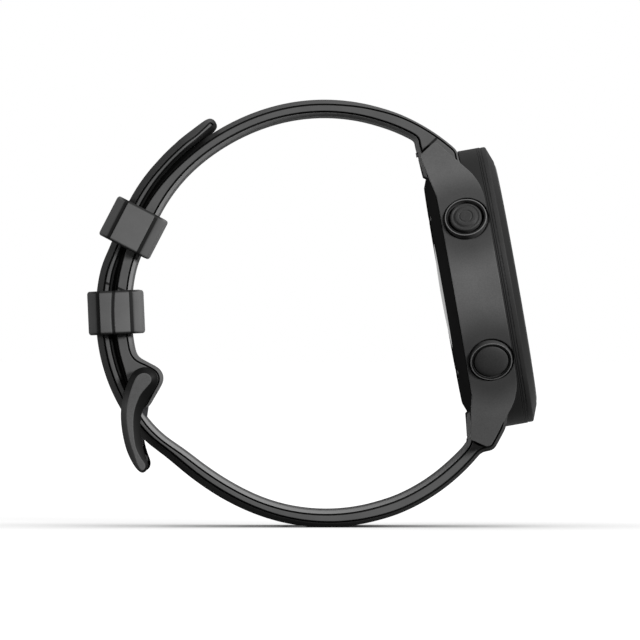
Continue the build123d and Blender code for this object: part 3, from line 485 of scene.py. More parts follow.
def clearResin(name, look):
    # tiny domes of resin over each chip, the chip showing as a darker square
    finish = Finish(name)
    chips = finish.node("ShaderNodeTexChecker", None, {"Vector": finish.place, "Scale": 1600.0}, 1)
    finish.surface({
        "Base Color": finish.blend(chips * 0.5, look["resin"], look["chip"]),
        "Roughness": finish.step(finish.noise(1200, 2), 0.3, 0.7, 0.08, 0.16),
        "Coat Weight": 0.6,
    })
    return finish


def plasticLook(level, **others):
    # plain moulded plastic, and what differs from it on one piece
    plain = {"level": level, "speckle": 0.12, "grain": 5200, "texture": 0.2, "roughness": 0.5, "shine": 0.06,
             "edgeRadius": 0.00012, "edgeLift": 0.5}
    return plain | others


def rubberLook(level, **others):
    plain = {"level": level, "roughness": 0.6, "texture": 0.3, "shine": 0.06, "sheen": 0.0, "dust": 0.12,
             "edgeRadius": 0.00012}
    return plain | others


# radii and heights in millimetres are given as the start and the end of a soft step
looks = {
    "case": plasticLook(
        0.058, roughness=0.52, edgeRadius=0.00016,
        bandInner=(20.9, 21.05), bandOuter=(21.28, 21.34), bandFrom=(8.72, 8.78), lines=(8.95, 9.22),
        wallRadius=(21.3, 21.4), wallFrom=(6.0, 6.15), wallLevel=0.013,
        # painted shade round the buttons and on their collars, and a painted highlight on the collars' rims
        shadeReach=(4.2, 9.0), shadeFrom=(17, 18), shade=0.6,
        collarRadius=(3.19, 3.24), collarFrom=(18, 18.1), collarLevel=0.03,
        topFrom=(21.94, 21.97), topLevel=0.004, rimRadius=(2.98, 3.02), rimLevel=0.08,
    ),
    "bezel": plasticLook(0.018, grain=6000, edgeRadius=0.00018, slopeFrom=(10.3, 10.5), frontTone=0.35),
    "button": plasticLook(0.024, speckle=0.2, grain=6500, texture=0.25, roughness=0.48),
    # the claws' bevels: painted shade, near black on the strap's side and lighter outside
    "buckle": plasticLook(0.06, roughness=0.56, edgeLift=0.4, innerTone=0.02, outerTone=0.55),
    "cover": plasticLook(0.014, roughness=0.6, shine=0.0, edgeRadius=0.00015, edgeLift=0.4),
    "insideFrame": plasticLook(
        0.04, speckle=0.2, grain=4000, texture=0.3, roughness=0.55, edgeRadius=0.0001, edgeLift=0.3,
    ),
    "dial": plasticLook(0.02, speckle=0.1, grain=7000, roughness=0.6, edgeRadius=0.0001, edgeLift=0.2),
    # the strap's bevels take painted light inside and painted shade outside, and a painted shadow lies beside
    # each lug
    "strap": rubberLook(
        0.052, innerTone=2.3, outerTone=0.28,
        lugTip=(2.95, 23.45), lugShift=-0.3, lugSlope=(0.551, 0.834), hollow=0.45, hollowFrom=(9.5, 9.6),
    ),
    "gasket": rubberLook(0.03, sheen=0.05, dust=0.05, edgeRadius=0.00008),
    # the fixed keeper's groove over the straps' gap is painted near black as shade
    "keeper": rubberLook(0.066, seamRadius=31.35, seamWidth=0.36),
    "lens": {"level": 0.012, "clearRadius": 14.4, "clearness": 0.35},
    "window": {"level": 0.02, "cover": 0.95, "clearRadius": (6.0, 6.4)},
    "display": {
        "cells": 22000, "cellContrast": 0.06,
        "dark": (0.04, 0.047, 0.04, 1), "light": (0.048, 0.056, 0.046, 1),
    },
    "flex": {"lines": 9000, "film": (0.36, 0.15, 0.03, 1), "copper": (0.5, 0.24, 0.07, 1)},
    "board": {"mask": (0.015, 0.085, 0.045, 1), "track": (0.03, 0.14, 0.07, 1), "tin": (0.6, 0.6, 0.56, 1)},
    "battery": {"foil": (0.42, 0.42, 0.44, 1), "tape": (0.45, 0.3, 0.04, 1), "tapeFrom": (6.4, 6.6)},
    "emitters": {"resin": (0.5, 0.55, 0.42, 1), "chip": (0.1, 0.3, 0.12, 1)},
}
metals = {
    # name, colour, roughness, lines in a metre and how they are stretched
    "cans": ("tinned steel", (0.6, 0.6, 0.58), 0.3, 900, (1, 8, 1)),
    "antenna": ("antenna plating", (0.72, 0.52, 0.26), 0.28, 900, (6, 1, 6)),
    "motor": ("motor can", (0.55, 0.55, 0.56), 0.25, 1500, (1, 1, 6)),
    "rotor": ("rotor weight", (0.55, 0.47, 0.3), 0.35, 1500, (5, 1, 1)),
    "gold": ("contact plating", (0.85, 0.62, 0.28), 0.2, 2500, (1, 4, 1)),
    "plating": ("dark plating", (0.1, 0.1, 0.105), 0.34, 2200, (1, 8, 1)),
    "steel": ("spring steel", (0.55, 0.55, 0.56), 0.26, 2200, (1, 8, 1)),
}
finishes = {
    "case_shell": caseShell("case shell", looks["case"]),
    "rear": mouldedPlastic("rear cover", looks["cover"]),
    "bezel": bezelPlastic("bezel", looks["bezel"]),
    "lens": crystal("front crystal", looks["lens"]),
    "sensor_window": darkWindow("sensor window", looks["window"]),
    "dial_ring": mouldedPlastic("dial ring", looks["dial"]),
    "gaskets": silicone("seal rubber", looks["gasket"]),
    "display": reflectivePanel("display panel", looks["display"]),
    "flex": filmFlex("flex film", looks["flex"]),
    "boards": circuitBoard("circuit board", looks["board"]),
    "inner_frame": mouldedPlastic("inner frame", looks["insideFrame"]),
    "battery": foilCell("battery foil", looks["battery"]),
    "emitters": clearResin("emitter resin", looks["emitters"]),
    "strap": strapRubber("strap silicone", looks["strap"]),
    "keeper": keeperRubber("keeper silicone", looks["keeper"]),
    "keeperSeam": fixedKeeperRubber("fixed keeper silicone", looks["keeper"]),
    "buckle": clawPlastic("buckle plastic", looks["buckle"]),
    "buttons": mouldedPlastic("button plastic", looks["button"]),
}
finishes |= {slot: metal(*row) for slot, row in metals.items()}
print("finishes ready:", len(finishes))

slotNodes = {
    "gaskets": ("lens_seal", "rear_gasket"),
    "dial_ring": ("dial_ring",),
    "display": ("display_panel",),
    "flex": ("display_flex", "sensor_flex"),
    "boards": ("main_board", "sensor_board"),
    "cans": ("shield_cans", "button_switches"),
    "antenna": ("gps_antenna",),
    "inner_frame": ("inner_frame", "contact_block"),
    "battery": ("battery",),
    "motor": ("motor_housing", "buzzer"),
    "rotor": ("motor_rotor",),
    "emitters": ("sensor_leds", "photodiodes"),
    "gold": ("charge_contacts",),
    "steel": ("rear_screws", "upper_strap_bar", "lower_strap_bar", "upper_release_pin",
              "lower_release_pin", "upper_bar_spring", "lower_bar_spring"),
}


def give(piece, finish):
    piece.data.materials.clear()
    piece.data.materials.append(finishes[finish].material)


def dressCadNodes():
    for finish, names in slotNodes.items():
        for name in names:
            give(nodes[name], finish)
    for name, node in nodes.items():
        if name.endswith("_seal") and "button" in name:
            give(node, "gaskets")
        elif name.endswith("_spring") or name.endswith("_clip"):
            give(node, "steel")


def linked(name, data):
    made = bpy.data.objects.new(name, data)
    scene.collection.objects.link(made)
    return made


def addPiece(name, mesh, finish, body, stands):
    mesh.name = name
    piece = linked(name, mesh)
    give(piece, finish)
    if body:
        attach(piece, body)
    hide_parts(*stands)
    return piece


def meshFrom(shape, name="shape"):
    mesh = bpy.data.meshes.new(name)
    shape.to_mesh(mesh)
    shape.free()
    return mesh


def joinedNode(name):
    # the node's own shape, its loose triangles joined up
    shape = bmesh.new()
    shape.from_mesh(nodes[name].data)
    bmesh.ops.remove_doubles(shape, verts=shape.verts, dist=0.000001)
    return shape


def smoothed(mesh, angle=28):
    for face in mesh.polygons:
        face.use_smooth = True
    mesh.set_sharp_from_angle(angle=radians(angle))
    return mesh


def closedUp(shape):
    # one clean closed shell with its faces outwards
    bmesh.ops.remove_doubles(shape, verts=shape.verts, dist=0.000002)
    bmesh.ops.dissolve_degenerate(shape, edges=shape.edges, dist=0.000001)
    bmesh.ops.recalc_face_normals(shape, faces=shape.faces)
    return smoothed(meshFrom(shape))


def settled(piece):
    # what the piece's modifiers make of it, as a plain mesh
    graph = bpy.context.evaluated_depsgraph_get()
    return bpy.data.meshes.new_from_object(piece.evaluated_get(graph), depsgraph=graph)


def weighted(mesh):
    # large flat faces keep their own direction where they meet round ones
    base = linked("weighted", mesh)
    modifier = base.modifiers.new("weights", "WEIGHTED_NORMAL")
    modifier.mode = "FACE_AREA"
    modifier.weight = 60
    modifier.keep_sharp = True
    result = settled(base)
    bpy.data.objects.remove(base)
    return result


def trueNormals(mesh, axes):
    # a round face points straight away from its own axis, and a flat one stays flat
    flatArea, evenGap = 0.05 * mm ** 2, 0.004 * mm
    normals = [corner.vector.copy() for corner in mesh.corner_normals]
    for face in mesh.polygons:
        exact = [face.normal] * len(face.vertices) if face.area > flatArea else None
        for origin, axis in axes:
            outs = [mesh.vertices[i].co - origin for i in face.vertices]
            outs = [out - axis * out.dot(axis) for out in outs]
            lengths = [out.length for out in outs]
            facing = face.normal.dot(sum(outs, Vector()).normalized())
            if max(lengths) - min(lengths) < evenGap and abs(facing) > 0.99:
                exact = [out.normalized() * (1 if facing > 0 else -1) for out in outs]
                break
        if exact:
            for corner, normal in zip(face.loop_indices, exact):
                normals[corner] = normal
    mesh.normals_split_custom_set(normals)
    return mesh


def smoothCopy(name, finish, riding=True):
    # a node's own shape whose round faces shade smoothly
    mesh = weighted(smoothed(meshFrom(joinedNode(name), name), 14))
    return addPiece(name + "_skin", mesh, finish, nodes[name]["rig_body"] if riding else None, [name])


def turnedMesh(profile, origin, axis, steps=128, closed=False):
    # a profile of (radius, height) pairs in millimetres, turned about an axis
    shape = bmesh.new()
    side = axis.cross(Vector((0.3, 0.2, 0.9))).normalized()
    other = axis.cross(side)
    rings = []
    for radius, height in profile:
        ring = []
        for step in range(steps):
            angle = 2 * pi * step / steps
            out = side * cos(angle) + other * sin(angle)
            ring.append(shape.verts.new(origin + (out * radius + axis * height) * mm))
        rings.append(ring)
    for low, high in zip(rings, rings[1:] + (rings[:1] if closed else [])):
        for step in range(steps):
            after = (step + 1) % steps
            shape.faces.new((low[step], low[after], high[after], high[step]))
    return closedUp(shape)


def sidePlace(vert):
    return vert.co.x, vert.co.z


def sectionLoops(name, y):
    # the outlines of a node cut by a plane across the strap, as lists of (x, z), the largest first
    shape = joinedNode(name)
    cut = bmesh.ops.bisect_plane(
        shape, geom=shape.verts[:] + shape.edges[:] + shape.faces[:],
        plane_co=(0, y * mm, 0), plane_no=across, clear_outer=True,
    )
    links = {}
    for edge in cut["geom_cut"]:
        if isinstance(edge, bmesh.types.BMEdge):
            one, other = edge.verts
            links.setdefault(one, []).append(other)
            links.setdefault(other, []).append(one)
    loops = []
    left = set(links)
    while left:
        loop = []
        choices = [max(left, key=sidePlace)]
        while choices:
            here = min(choices, key=sidePlace)
            left.discard(here)
            loop.append(here)
            choices = [v for v in links[here] if v in left]
        loops.append([(v.co.x / mm, v.co.z / mm) for v in loop])
    shape.free()
    return sorted((loop for loop in loops if len(loop) > 5), key=lambda loop: -abs(signedArea(loop)))


def following(points):
    return points[1:] + points[:1]


def trios(points):
    # each point of a closed line between its neighbours
    return zip(points[-1:] + points[:-1], points, following(points))


def signedArea(loop):
    return sum(a[0] * b[1] - b[0] * a[1] for a, b in zip(loop, following(loop))) / 2


def evened(loop, spacing, clockwise=False):
    # points at one spacing along a closed outline, counter-clockwise for an outside
    if (signedArea(loop) < 0) != clockwise:
        loop = loop[::-1]
    lengths = [hypot(b[0] - a[0], b[1] - a[1]) for a, b in zip(loop, following(loop))]
    count = max(int(sum(lengths) / spacing), 12)
    pitch = sum(lengths) / count
    points = []
    travelled = 0.0
    for start, end, length in zip(loop, following(loop), lengths):
        while len(points) < count and len(points) * pitch <= travelled + length:
            share = (len(points) * pitch - travelled) / length if length else 0
            points.append((start[0] + (end[0] - start[0]) * share, start[1] + (end[1] - start[1]) * share))
        travelled += length
    return points


def relaxed(points, rounds, fillOnly=False):
    # rounds the corners; with fillOnly, only the hollow ones, which fill up
    for _ in range(rounds):
        moved = []
        for before, here, after in trios(points):
            turn = (here[0] - before[0]) * (after[1] - here[1]) - (here[1] - before[1]) * (after[0] - here[0])
            if fillOnly and turn >= 0:
                moved.append(here)
            else:
                middle = ((before[0] + after[0]) / 2, (before[1] + after[1]) / 2)
                moved.append(((here[0] + middle[0]) / 2, (here[1] + middle[1]) / 2))
        points = moved
    return points


def inwards(points):
    found = []
    for before, _, after in trios(points):
        along = (after[0] - before[0], after[1] - before[1])
        length = hypot(*along) or 1
        found.append((-along[1] / length, along[0] / length))
    return found


def outerShare(outwards):
    # 0 on an inner edge and 1 on an outer one, by how squarely the edge faces outwards
    return clamped(0.5 + outwards * 1.2)


def bendLimit(points, share):
    # how deep an edge may be cut at each point before the inset line folds on itself
    limits = []
    for before, here, after in trios(points):
        first = atan2(here[1] - before[1], here[0] - before[0])
        second = atan2(after[1] - here[1], after[0] - here[0])
        turn = (second - first + pi) % (2 * pi) - pi
        length = hypot(after[0] - here[0], after[1] - here[1])
        limits.append(share * length / turn if turn > 0.001 else 100.0)
    return limits


def levelled(values, reach):
    # the least value near each point, then evened out
    count = len(values)
    window = range(-reach, reach + 1)
    least = [min(values[(i + k) % count] for k in window) for i in range(count)]
    return [sum(least[(i + k) % count] for k in window) / len(window) for i in range(count)]


edgeColumns = ("insetShare", "inset", "dropShare", "drop", "bevel", "crease")
edgeShapes = {
    # rows of (share of edge depth inwards, mm inwards, share of edge depth off the side, mm off the side,
    # how much it belongs to the bevel, how much painted shade it takes in the crease)
    "strap": [
        (0, 0, 1.5, 0.5, 0, 0), (0, 0, 1.4, 0.3, 1, 0), (0.06, 0, 1.2, 0.3, 1, 0),
        (0.94, -0.02, 0.06, 0.3, 1, 0), (1, -0.03, 0, 0.36, 1, 0.5), (1, 0, 0, 0.6, 1, 1),
        (1, 0.19, 0, 0.6, 0, 1), (1, 0.22, 0, 0.08, 0, 0.6), (1, 0.28, 0, 0, 0, 0),
    ],
    "claw": [
        (0, 0, 0.66, 0.02, 1, 0), (0.1, 0, 0.5, 0, 1, 0), (0.92, 0, 0.05, 0, 1, 0), (1, 0, 0, 0, 0, 0),
        (1, 0.1, 0, 0, 0, 0),
    ],
}


def newTree(name, sockets):
    # a tree for meshes, with its named inputs
    tree = bpy.data.node_groups.new(name, "GeometryNodeTree")
    for label, kind in (("Geometry", "Geometry"), *sockets, ("Finish", "Material")):
        tree.interface.new_socket(label, in_out="INPUT", socket_type="NodeSocket" + kind)
    tree.interface.new_socket("Geometry", in_out="OUTPUT", socket_type="NodeSocketGeometry")
    graph = Graph(tree)
    return graph, graph.node("NodeGroupInput")


def endedTree(graph, given, geometry):
    real = graph.node("GeometryNodeRealizeInstances", None, {"Geometry": geometry})
    dressed = graph.node("GeometryNodeSetMaterial", None, {"Geometry": real, "Material": given.out("Finish")})
    graph.node("NodeGroupOutput", None, {"Geometry": dressed})
    return graph.tree


def bandTree():
    # sweeps an edge's shape round an outline, and closes both sides of the band
    sizes = [(name, "Float") for name in ("Half width", "Side inset", "Weld")]
    graph, given = newTree("moulded edge band", [("Edge shape", "Object")] + sizes)

    def stored(name, kind="FLOAT"):
        return graph.node("GeometryNodeInputNamedAttribute", {"data_type": kind}, {"Name": name})

    outline = graph.node("GeometryNodeMeshToCurve", None, {"Mesh": given.out("Geometry")})
    edgeShape = graph.node("GeometryNodeObjectInfo", None, {"Object": given.out("Edge shape")})
    edgeLine = graph.node("GeometryNodeMeshToCurve", None, {"Mesh": edgeShape.out("Geometry")})
    swept = graph.node("GeometryNodeCurveToMesh", None, {"Curve": outline, "Profile Curve": edgeLine})
    depth = stored("edgeDepth")
    start = stored("outlinePoint", "FLOAT_VECTOR")
    inward = stored("inward", "FLOAT_VECTOR")
    halfWidth = given.out("Half width") * stored("widthShare")
    inset = stored("insetShare") * depth + stored("inset")
    dropped = stored("dropShare") * depth + stored("drop")
    height = stored("side") * (halfWidth - dropped)
    flat = graph.vector("ADD", start, graph.scaled(inward, inset))
    placed = graph.vector("ADD", flat, graph.joined(0.0, 0.0, height))
    rim = graph.node("GeometryNodeSetPosition", None, {"Geometry": swept, "Position": placed})

    insideEdge = graph.vector("ADD", start, graph.scaled(inward, depth + given.out("Side inset")))
    shrunk = graph.node("GeometryNodeSetPosition", None, {"Geometry": outline, "Position": insideEdge})
    filled = graph.node("GeometryNodeFillCurve", {"mode": "TRIANGLES"}, {"Curve": shrunk})
    wire = graph.node("GeometryNodeCurveToMesh", None, {"Curve": shrunk})
    nearest = graph.node("GeometryNodeSampleNearest", {"domain": "POINT"}, {"Geometry": wire})
    shareAt = graph.node(
        "GeometryNodeSampleIndex",
        {"data_type": "FLOAT", "domain": "POINT"},
        {"Geometry": wire, "Value": stored("widthShare"), "Index": nearest},
    )
    sides = []
    for sign in (1, -1):
        lifted = graph.joined(0.0, 0.0, given.out("Half width") * shareAt * sign)
        sides.append(graph.node("GeometryNodeSetPosition", None, {"Geometry": filled, "Offset": lifted}))
    joined = graph.node("GeometryNodeJoinGeometry", None, {"Geometry": [rim] + sides})
    inputs = {"Geometry": joined, "Distance": given.out("Weld")}
    welded = graph.node("GeometryNodeMergeByDistance", None, inputs)
    upright = graph.node("GeometryNodeTransform", None, {"Geometry": welded, "Rotation": (pi / 2, 0, 0)})
    return endedTree(graph, given, upright)


def runTree(name, mesh, tree, values):
    # the tree's result on a mesh, cleaned up
    source = linked(name + "_source", mesh)
    modifier = source.modifiers.new("tree", "NODES")
    modifier.node_group = tree
    for item in tree.interface.items_tree:
        if item.item_type == "SOCKET" and item.in_out == "INPUT" and item.name in values:
            modifier[item.identifier] = values[item.name]
    result = settled(source)
    source.modifiers.remove(modifier)
    bpy.data.objects.remove(source)
    shape = bmesh.new()
    shape.from_mesh(result)
    return closedUp(shape)


def withAttributes(mesh, values):
    # vectors where the values are rows, numbers where they aren't
    for name, numbers in values.items():
        plain = isinstance(numbers[0], (int, float))
        layer = mesh.attributes.new(name, "FLOAT" if plain else "FLOAT_VECTOR", "POINT")
        for item, number in zip(layer.data, numbers):
            setattr(item, "value" if plain else "vector", number)


def edgeShapeObject(name):
    # both edges of a band as one line, whose points carry the rows above
    rows = [row + (1,) for row in edgeShapes[name]]
    line = [row[:-1] + (-1,) for row in rows[::-1]] + rows
    mesh = bpy.data.meshes.new(name + " edge")
    points = [(0.0, 0.0001 * i, 0.0) for i in range(len(line))]
    mesh.from_pydata(points, [(i, i + 1) for i in range(len(line) - 1)], [])
    columns = dict(zip(edgeColumns + ("side",), zip(*line)))
    for column in ("inset", "drop"):
        columns[column] = [value * mm for value in columns[column]]
    withAttributes(mesh, columns)
    return linked(name + "_edge", mesh)


edgeBand = bandTree()


def bandMesh(name, loops, edgeName, halfWidth, finish):
    # loops: (points, edge depths, width shares, outsides: how lit or shaded each bevel is painted), the first
    # the outside, the rest holes through it
    points, links, inward, depths, shares, outsides = [], [], [], [], [], []
    for loop, loopDepths, loopShares, loopOutsides in loops:
        first = len(points)
        points += [(x * mm, z * mm, 0.0) for x, z in loop]
        links += [(first + i, first + (i + 1) % len(loop)) for i in range(len(loop))]
        inward += [(x, z, 0.0) for x, z in inwards(loop)]
        depths += [depth * mm for depth in loopDepths]
        shares += loopShares
        outsides += loopOutsides
    mesh = bpy.data.meshes.new(name + " outline")
    mesh.from_pydata(points, links, [])
    withAttributes(mesh, {"outlinePoint": points, "inward": inward, "edgeDepth": depths, "widthShare": shares,
                          "outside": outsides})
    edge = edgeShapeObject(edgeName)
    result = runTree(name, mesh, edgeBand, {
        "Edge shape": edge,
        "Half width": halfWidth * mm,
        "Side inset": edgeShapes[edgeName][-1][1] * mm,
        "Weld": 0.000003,
        "Finish": finishes[finish].material,
    })
    bpy.data.objects.remove(edge)
    return result


def keptShading(mesh, before):
    # faces that were there before the cut keep the normals that they had
    faces = [face.vertices for face in before.polygons]
    tree = BVHTree.FromPolygons([vert.co for vert in before.vertices], faces)
    normals = [corner.vector.copy() for corner in mesh.corner_normals]
    for face in mesh.polygons:
        for corner, index in zip(face.loop_indices, face.vertices):
            spot = mesh.vertices[index].co.lerp(face.center, 0.02)
            found, normal, old, gap = tree.find_nearest(spot)
            if gap < 0.004 * mm and normal.dot(face.normal) > 0.96:
                source = before.polygons[old]
                shares = poly_3d_calc([before.vertices[i].co for i in source.vertices], found)
                parts = (before.corner_normals[i].vector * s for i, s in zip(source.loop_indices, shares))
                normals[corner] = sum(parts, Vector()).normalized()
    mesh.normals_split_custom_set(normals)
    return mesh


def carved(name, mesh, cutters):
    # the mesh with closed cutting shapes taken away
    base = linked(name + "_base", mesh)
    tools = [linked(f"{name}_cutter_{index}", cutter) for index, cutter in enumerate(cutters)]
    for index, tool in enumerate(tools):
        modifier = base.modifiers.new(f"cut {index}", "BOOLEAN")
        modifier.operation = "DIFFERENCE"
        modifier.solver = "EXACT"
        modifier.object = tool
    result = settled(base)
    for made in [base] + tools:
        bpy.data.objects.remove(made)
    result.materials.clear()
    return keptShading(smoothed(result), mesh)


def boxMesh(corner, opposite):
    # a closed box between two corners, in metres
    shape = bmesh.new()
    bmesh.ops.create_cube(shape, size=1.0)
    middle = (Vector(corner) + Vector(opposite)) / 2
    size = Vector(opposite) - Vector(corner)
    for vert in shape.verts:
        vert.co = middle + Vector(vert.co[i] * abs(size[i]) for i in range(3))
    return closedUp(shape)


def hullMesh(corners):
    # the flat-sided shape round the corners, in metres
    shape = bmesh.new()
    bmesh.ops.convex_hull(shape, input=[shape.verts.new(corner) for corner in corners])
    return closedUp(shape)


strapShape = {
    "halfWidth": 10.0,
    "sectionAt": 9.85,                  # how far off the middle the outline is taken
    "tipSectionAt": 2.3,                # and the rounded tip's
    "longOuterEdge": (0.98, 0.5),       # depth of the outer face's bevel, away from the case and at it
    "shortOuterEdge": (0.66, 0.28),
    "narrowing": {"long": (-12.0, 14.0), "short": (6.0, 16.0)},
    "innerEdge": 0.52,
    "closer": 0.22,                     # how much the longer strap's inner bevel narrows on the other strap
    "leastEdge": 0.06,
    "bendShare": 0.55,
    "spacing": 0.34,
    "crispRounds": 4,
    "hollowRounds": 10,
    "evenRounds": 60,
    "crispFrom": 13.0,                  # the outline stays crisp forward of here,
    "crispReach": 9.0,                  # this near to the hinge and to the tip,
    "crispFade": 3.0,                   # and is evened out over this much
    "lastRounds": 3,
    "tipRounds": (9, 2.4),              # how often the tip is relaxed, and up to how far back
    "joinRounds": (30, 6.5, 11.5),      # and where the tip's outline joins the rest
    "tipEdge": (0.2, 5.5, 2.5),         # how much deeper the bevels grow, from how far back, and how soon
    "tipLimit": (1.5, 3.5),             # how much deeper than the bend allows, and up to how far back
    "noseFrom": 4.5,                    # the strap's nose is in front of this, and its end behind
    "endRise": 20.2,
    "noseRise": 21.3,
    "endFloor": -3,
    "runOn": 1.5,
    "heel": (0.9, 15, 25, 3),           # the heel's front, its ends, and how soon it starts
    "tuck": 0.26,
    "thinning": (0.08, 22),
    "meeting": (136, 203.5, 29.6),      # from and to which angle the layers touch, and from how far out
    "meetFade": 3,
    "layerGap": 0.02,
    # where one layer lies on the other, and the bevels between them are painted black as shade
    "doubled": {"long": 109, "short": 119, "end": 208, "fade": 7},
    "hinge": (-24.692, 22.425),
    "hingeReach": 2.6,
    "hingeEdge": 0.3,
    "hingeShade": (9, 0.62),
    # the outer bevel's painted shade on one layer, and how much it changes on two
    "outsideShade": {"long": (0.95, 1.15), "short": (0.7, 1.2)},
    "tipRadius": 7.0,
    "tip": (-15.285, 62.277),
    "tipHeading": 37.65,
    "tipNear": 14,
    "holeSpacing": 0.3,
    "holeEdge": 0.05,
}


def fromHinge(x, z):
    return hypot(x - strapShape["hinge"][0], z - strapShape["hinge"][1])


def backFromTip(x, z):
    heading = radians(strapShape["tipHeading"])
    tipX, tipZ = strapShape["tip"]
    back = (tipX - x) * cos(heading) + (tipZ - z) * sin(heading)
    return back if hypot(tipX - x, tipZ - z) < strapShape["tipNear"] else 100.0


def run(points, keep):
    # the one run of neighbouring points that are kept, in their order
    kept = [keep(point) for point in points]
    first = next(i for i in range(len(points)) if kept[i] and not kept[i - 1])
    return [point for point in points[first:] + points[:first] if keep(point)]


def alongCase(x, z):
    # how far a point is in front of the case's rear, and how far towards 12 o'clock
    away = Vector((x, 0, z)) * mm - caseOrigin
    return away.dot(front) / mm, away.dot(twelve) / mm


def intoCase(x, z):
    # the strap's end runs on into the case, and is cut back to the wall afterwards
    height, rise = alongCase(x, z)
    past = strapShape["noseRise" if height > strapShape["noseFrom"] else "endRise"] - abs(rise)
    if height < strapShape["endFloor"] or past <= 0:
        return x, z
    runOn = strapShape["runOn"] * past
    moved = twelve * (-runOn if rise > 0 else runOn)
    return x + moved.x, z + moved.z


def heelTucked(x, z):
    # the moulding behind each lug lies a little closer to it
    height, rise = alongCase(x, z)
    rise = abs(rise)
    top, low, high, fade = strapShape["heel"]
    if height > top or not low < rise < high:
        return x, z
    thinning, thinBelow = strapShape["thinning"]
    tuck = strapShape["tuck"] * min((high - rise) / fade, 1.0) + thinning * max(thinBelow - rise, 0)
    moved = front * tuck * min(top - height, 1.0)
    return x + moved.x, z + moved.z


def around(x, z):
    # the angle and the distance from the middle of the loop
    x, z = x - loopCentre[0], z - loopCentre[1]
    return degrees(atan2(z, x)) % 360, hypot(x, z)


def innerFace():
    # how far out the longer strap's inner face is, by whole degrees
    faces = {}
    outline = sectionLoops("long_strap", strapShape["sectionAt"])[0]
    for x, z in evened(outline, strapShape["spacing"] / 2):
        angle, away = around(x, z)
        faces[round(angle)] = min(away, faces.get(round(angle), 100.0))
    return faces


def meetLayer(x, z, faces):
    # the shorter strap's outer face lies against the strap around it, down to the buckle
    angle, away = around(x, z)
    low, high, least = strapShape["meeting"]
    if not low < angle < high or away < least:
        return x, z
    start = int(angle)
    face = faces[start] + (faces[start + 1] - faces[start]) * (angle - start) + strapShape["layerGap"]
    reach = (away + (face - away) * min((angle - low) / strapShape["meetFade"], 1.0)) / away
    return loopCentre[0] + (x - loopCentre[0]) * reach, loopCentre[1] + (z - loopCentre[1]) * reach


def doubling(x, z, strap):
    # 1 where one strap lies on the other
    angle = around(x, z)[0]
    doubled = strapShape["doubled"]
    return clamped((angle - doubled[strap]) / doubled["fade"]) if angle < doubled["end"] else 0.0


def shading(x, z, share, strap):
    # how a bevel is painted: 0 for the pale inner bevel's painted light, 1 for the dark outer one's painted
    # shade, and 2 for painted black shade between the two layers
    doubled = doubling(x, z, strap)
    single, lighter = strapShape["outsideShade"][strap]
    if strap == "long":
        return (2 - lighter * share) * doubled + share * single * (1 - doubled)
    # near the hinge the bevels take more painted shade
    reach, shade = strapShape["hingeShade"]
    buckled = clamped((1 - fromHinge(x, z) / reach) * 2)
    return max(share * (single + lighter * doubled), buckled * shade)


def outerDepth(x, strap):
    # the outer bevel narrows along the strap towards the case
    far, near = strapShape[strap + "OuterEdge"]
    start, end = strapShape["narrowing"][strap]
    return far + (near - far) * clamped((x - start) / (end - start))


def evenedSpot(firm, soft, strap):
    # between the crisp outline's point and the even one's
    x, z = firm
    reach, fade = strapShape["crispReach"], strapShape["crispFade"]
    away = backFromTip(x, z) if strap == "long" else fromHinge(x, z)
    share = clamped(min((strapShape["crispFrom"] - x) / fade, (away - reach) / fade))
    return x + (soft[0] - x) * share, z + (soft[1] - z) * share


def softened(outline, rounds, low, high):
    # the outline relaxed, but only so far back from the tip
    softer = relaxed(outline, rounds)
    return [soft if low < backFromTip(*firm) < high else firm for soft, firm in zip(softer, outline)]


def strapOutline(node, strap, section):
    shape = strapShape
    outline = [intoCase(*heelTucked(x, z)) for x, z in evened(section, shape["spacing"])]
    if strap == "short":
        faces = innerFace()
        outline = [meetLayer(x, z, faces) for x, z in outline]
    outline = evened(outline, shape["spacing"])
    if strap == "long":
        reach = shape["crispReach"]
        middle = evened(sectionLoops(node, shape["tipSectionAt"])[0], shape["spacing"])
        outline = run(outline, lambda p: backFromTip(*p) > reach)
        outline += run(middle, lambda p: backFromTip(*p) <= reach)
        outline = evened(outline, shape["spacing"])
    # the strap runs evenly, and only beside the case, the hinge and the tip do its corners stay crisp
    crisp = relaxed(outline, shape["crispRounds"], fillOnly=True)
    even = relaxed(relaxed(outline, shape["hollowRounds"], fillOnly=True), shape["evenRounds"])
    outline = [evenedSpot(firm, soft, strap) for firm, soft in zip(crisp, even)]
    outline = relaxed(outline, shape["lastRounds"])
    if strap == "long":
        rounds, reach = shape["tipRounds"]
        outline = softened(softened(outline, rounds, -100.0, reach), *shape["joinRounds"])
    return outline


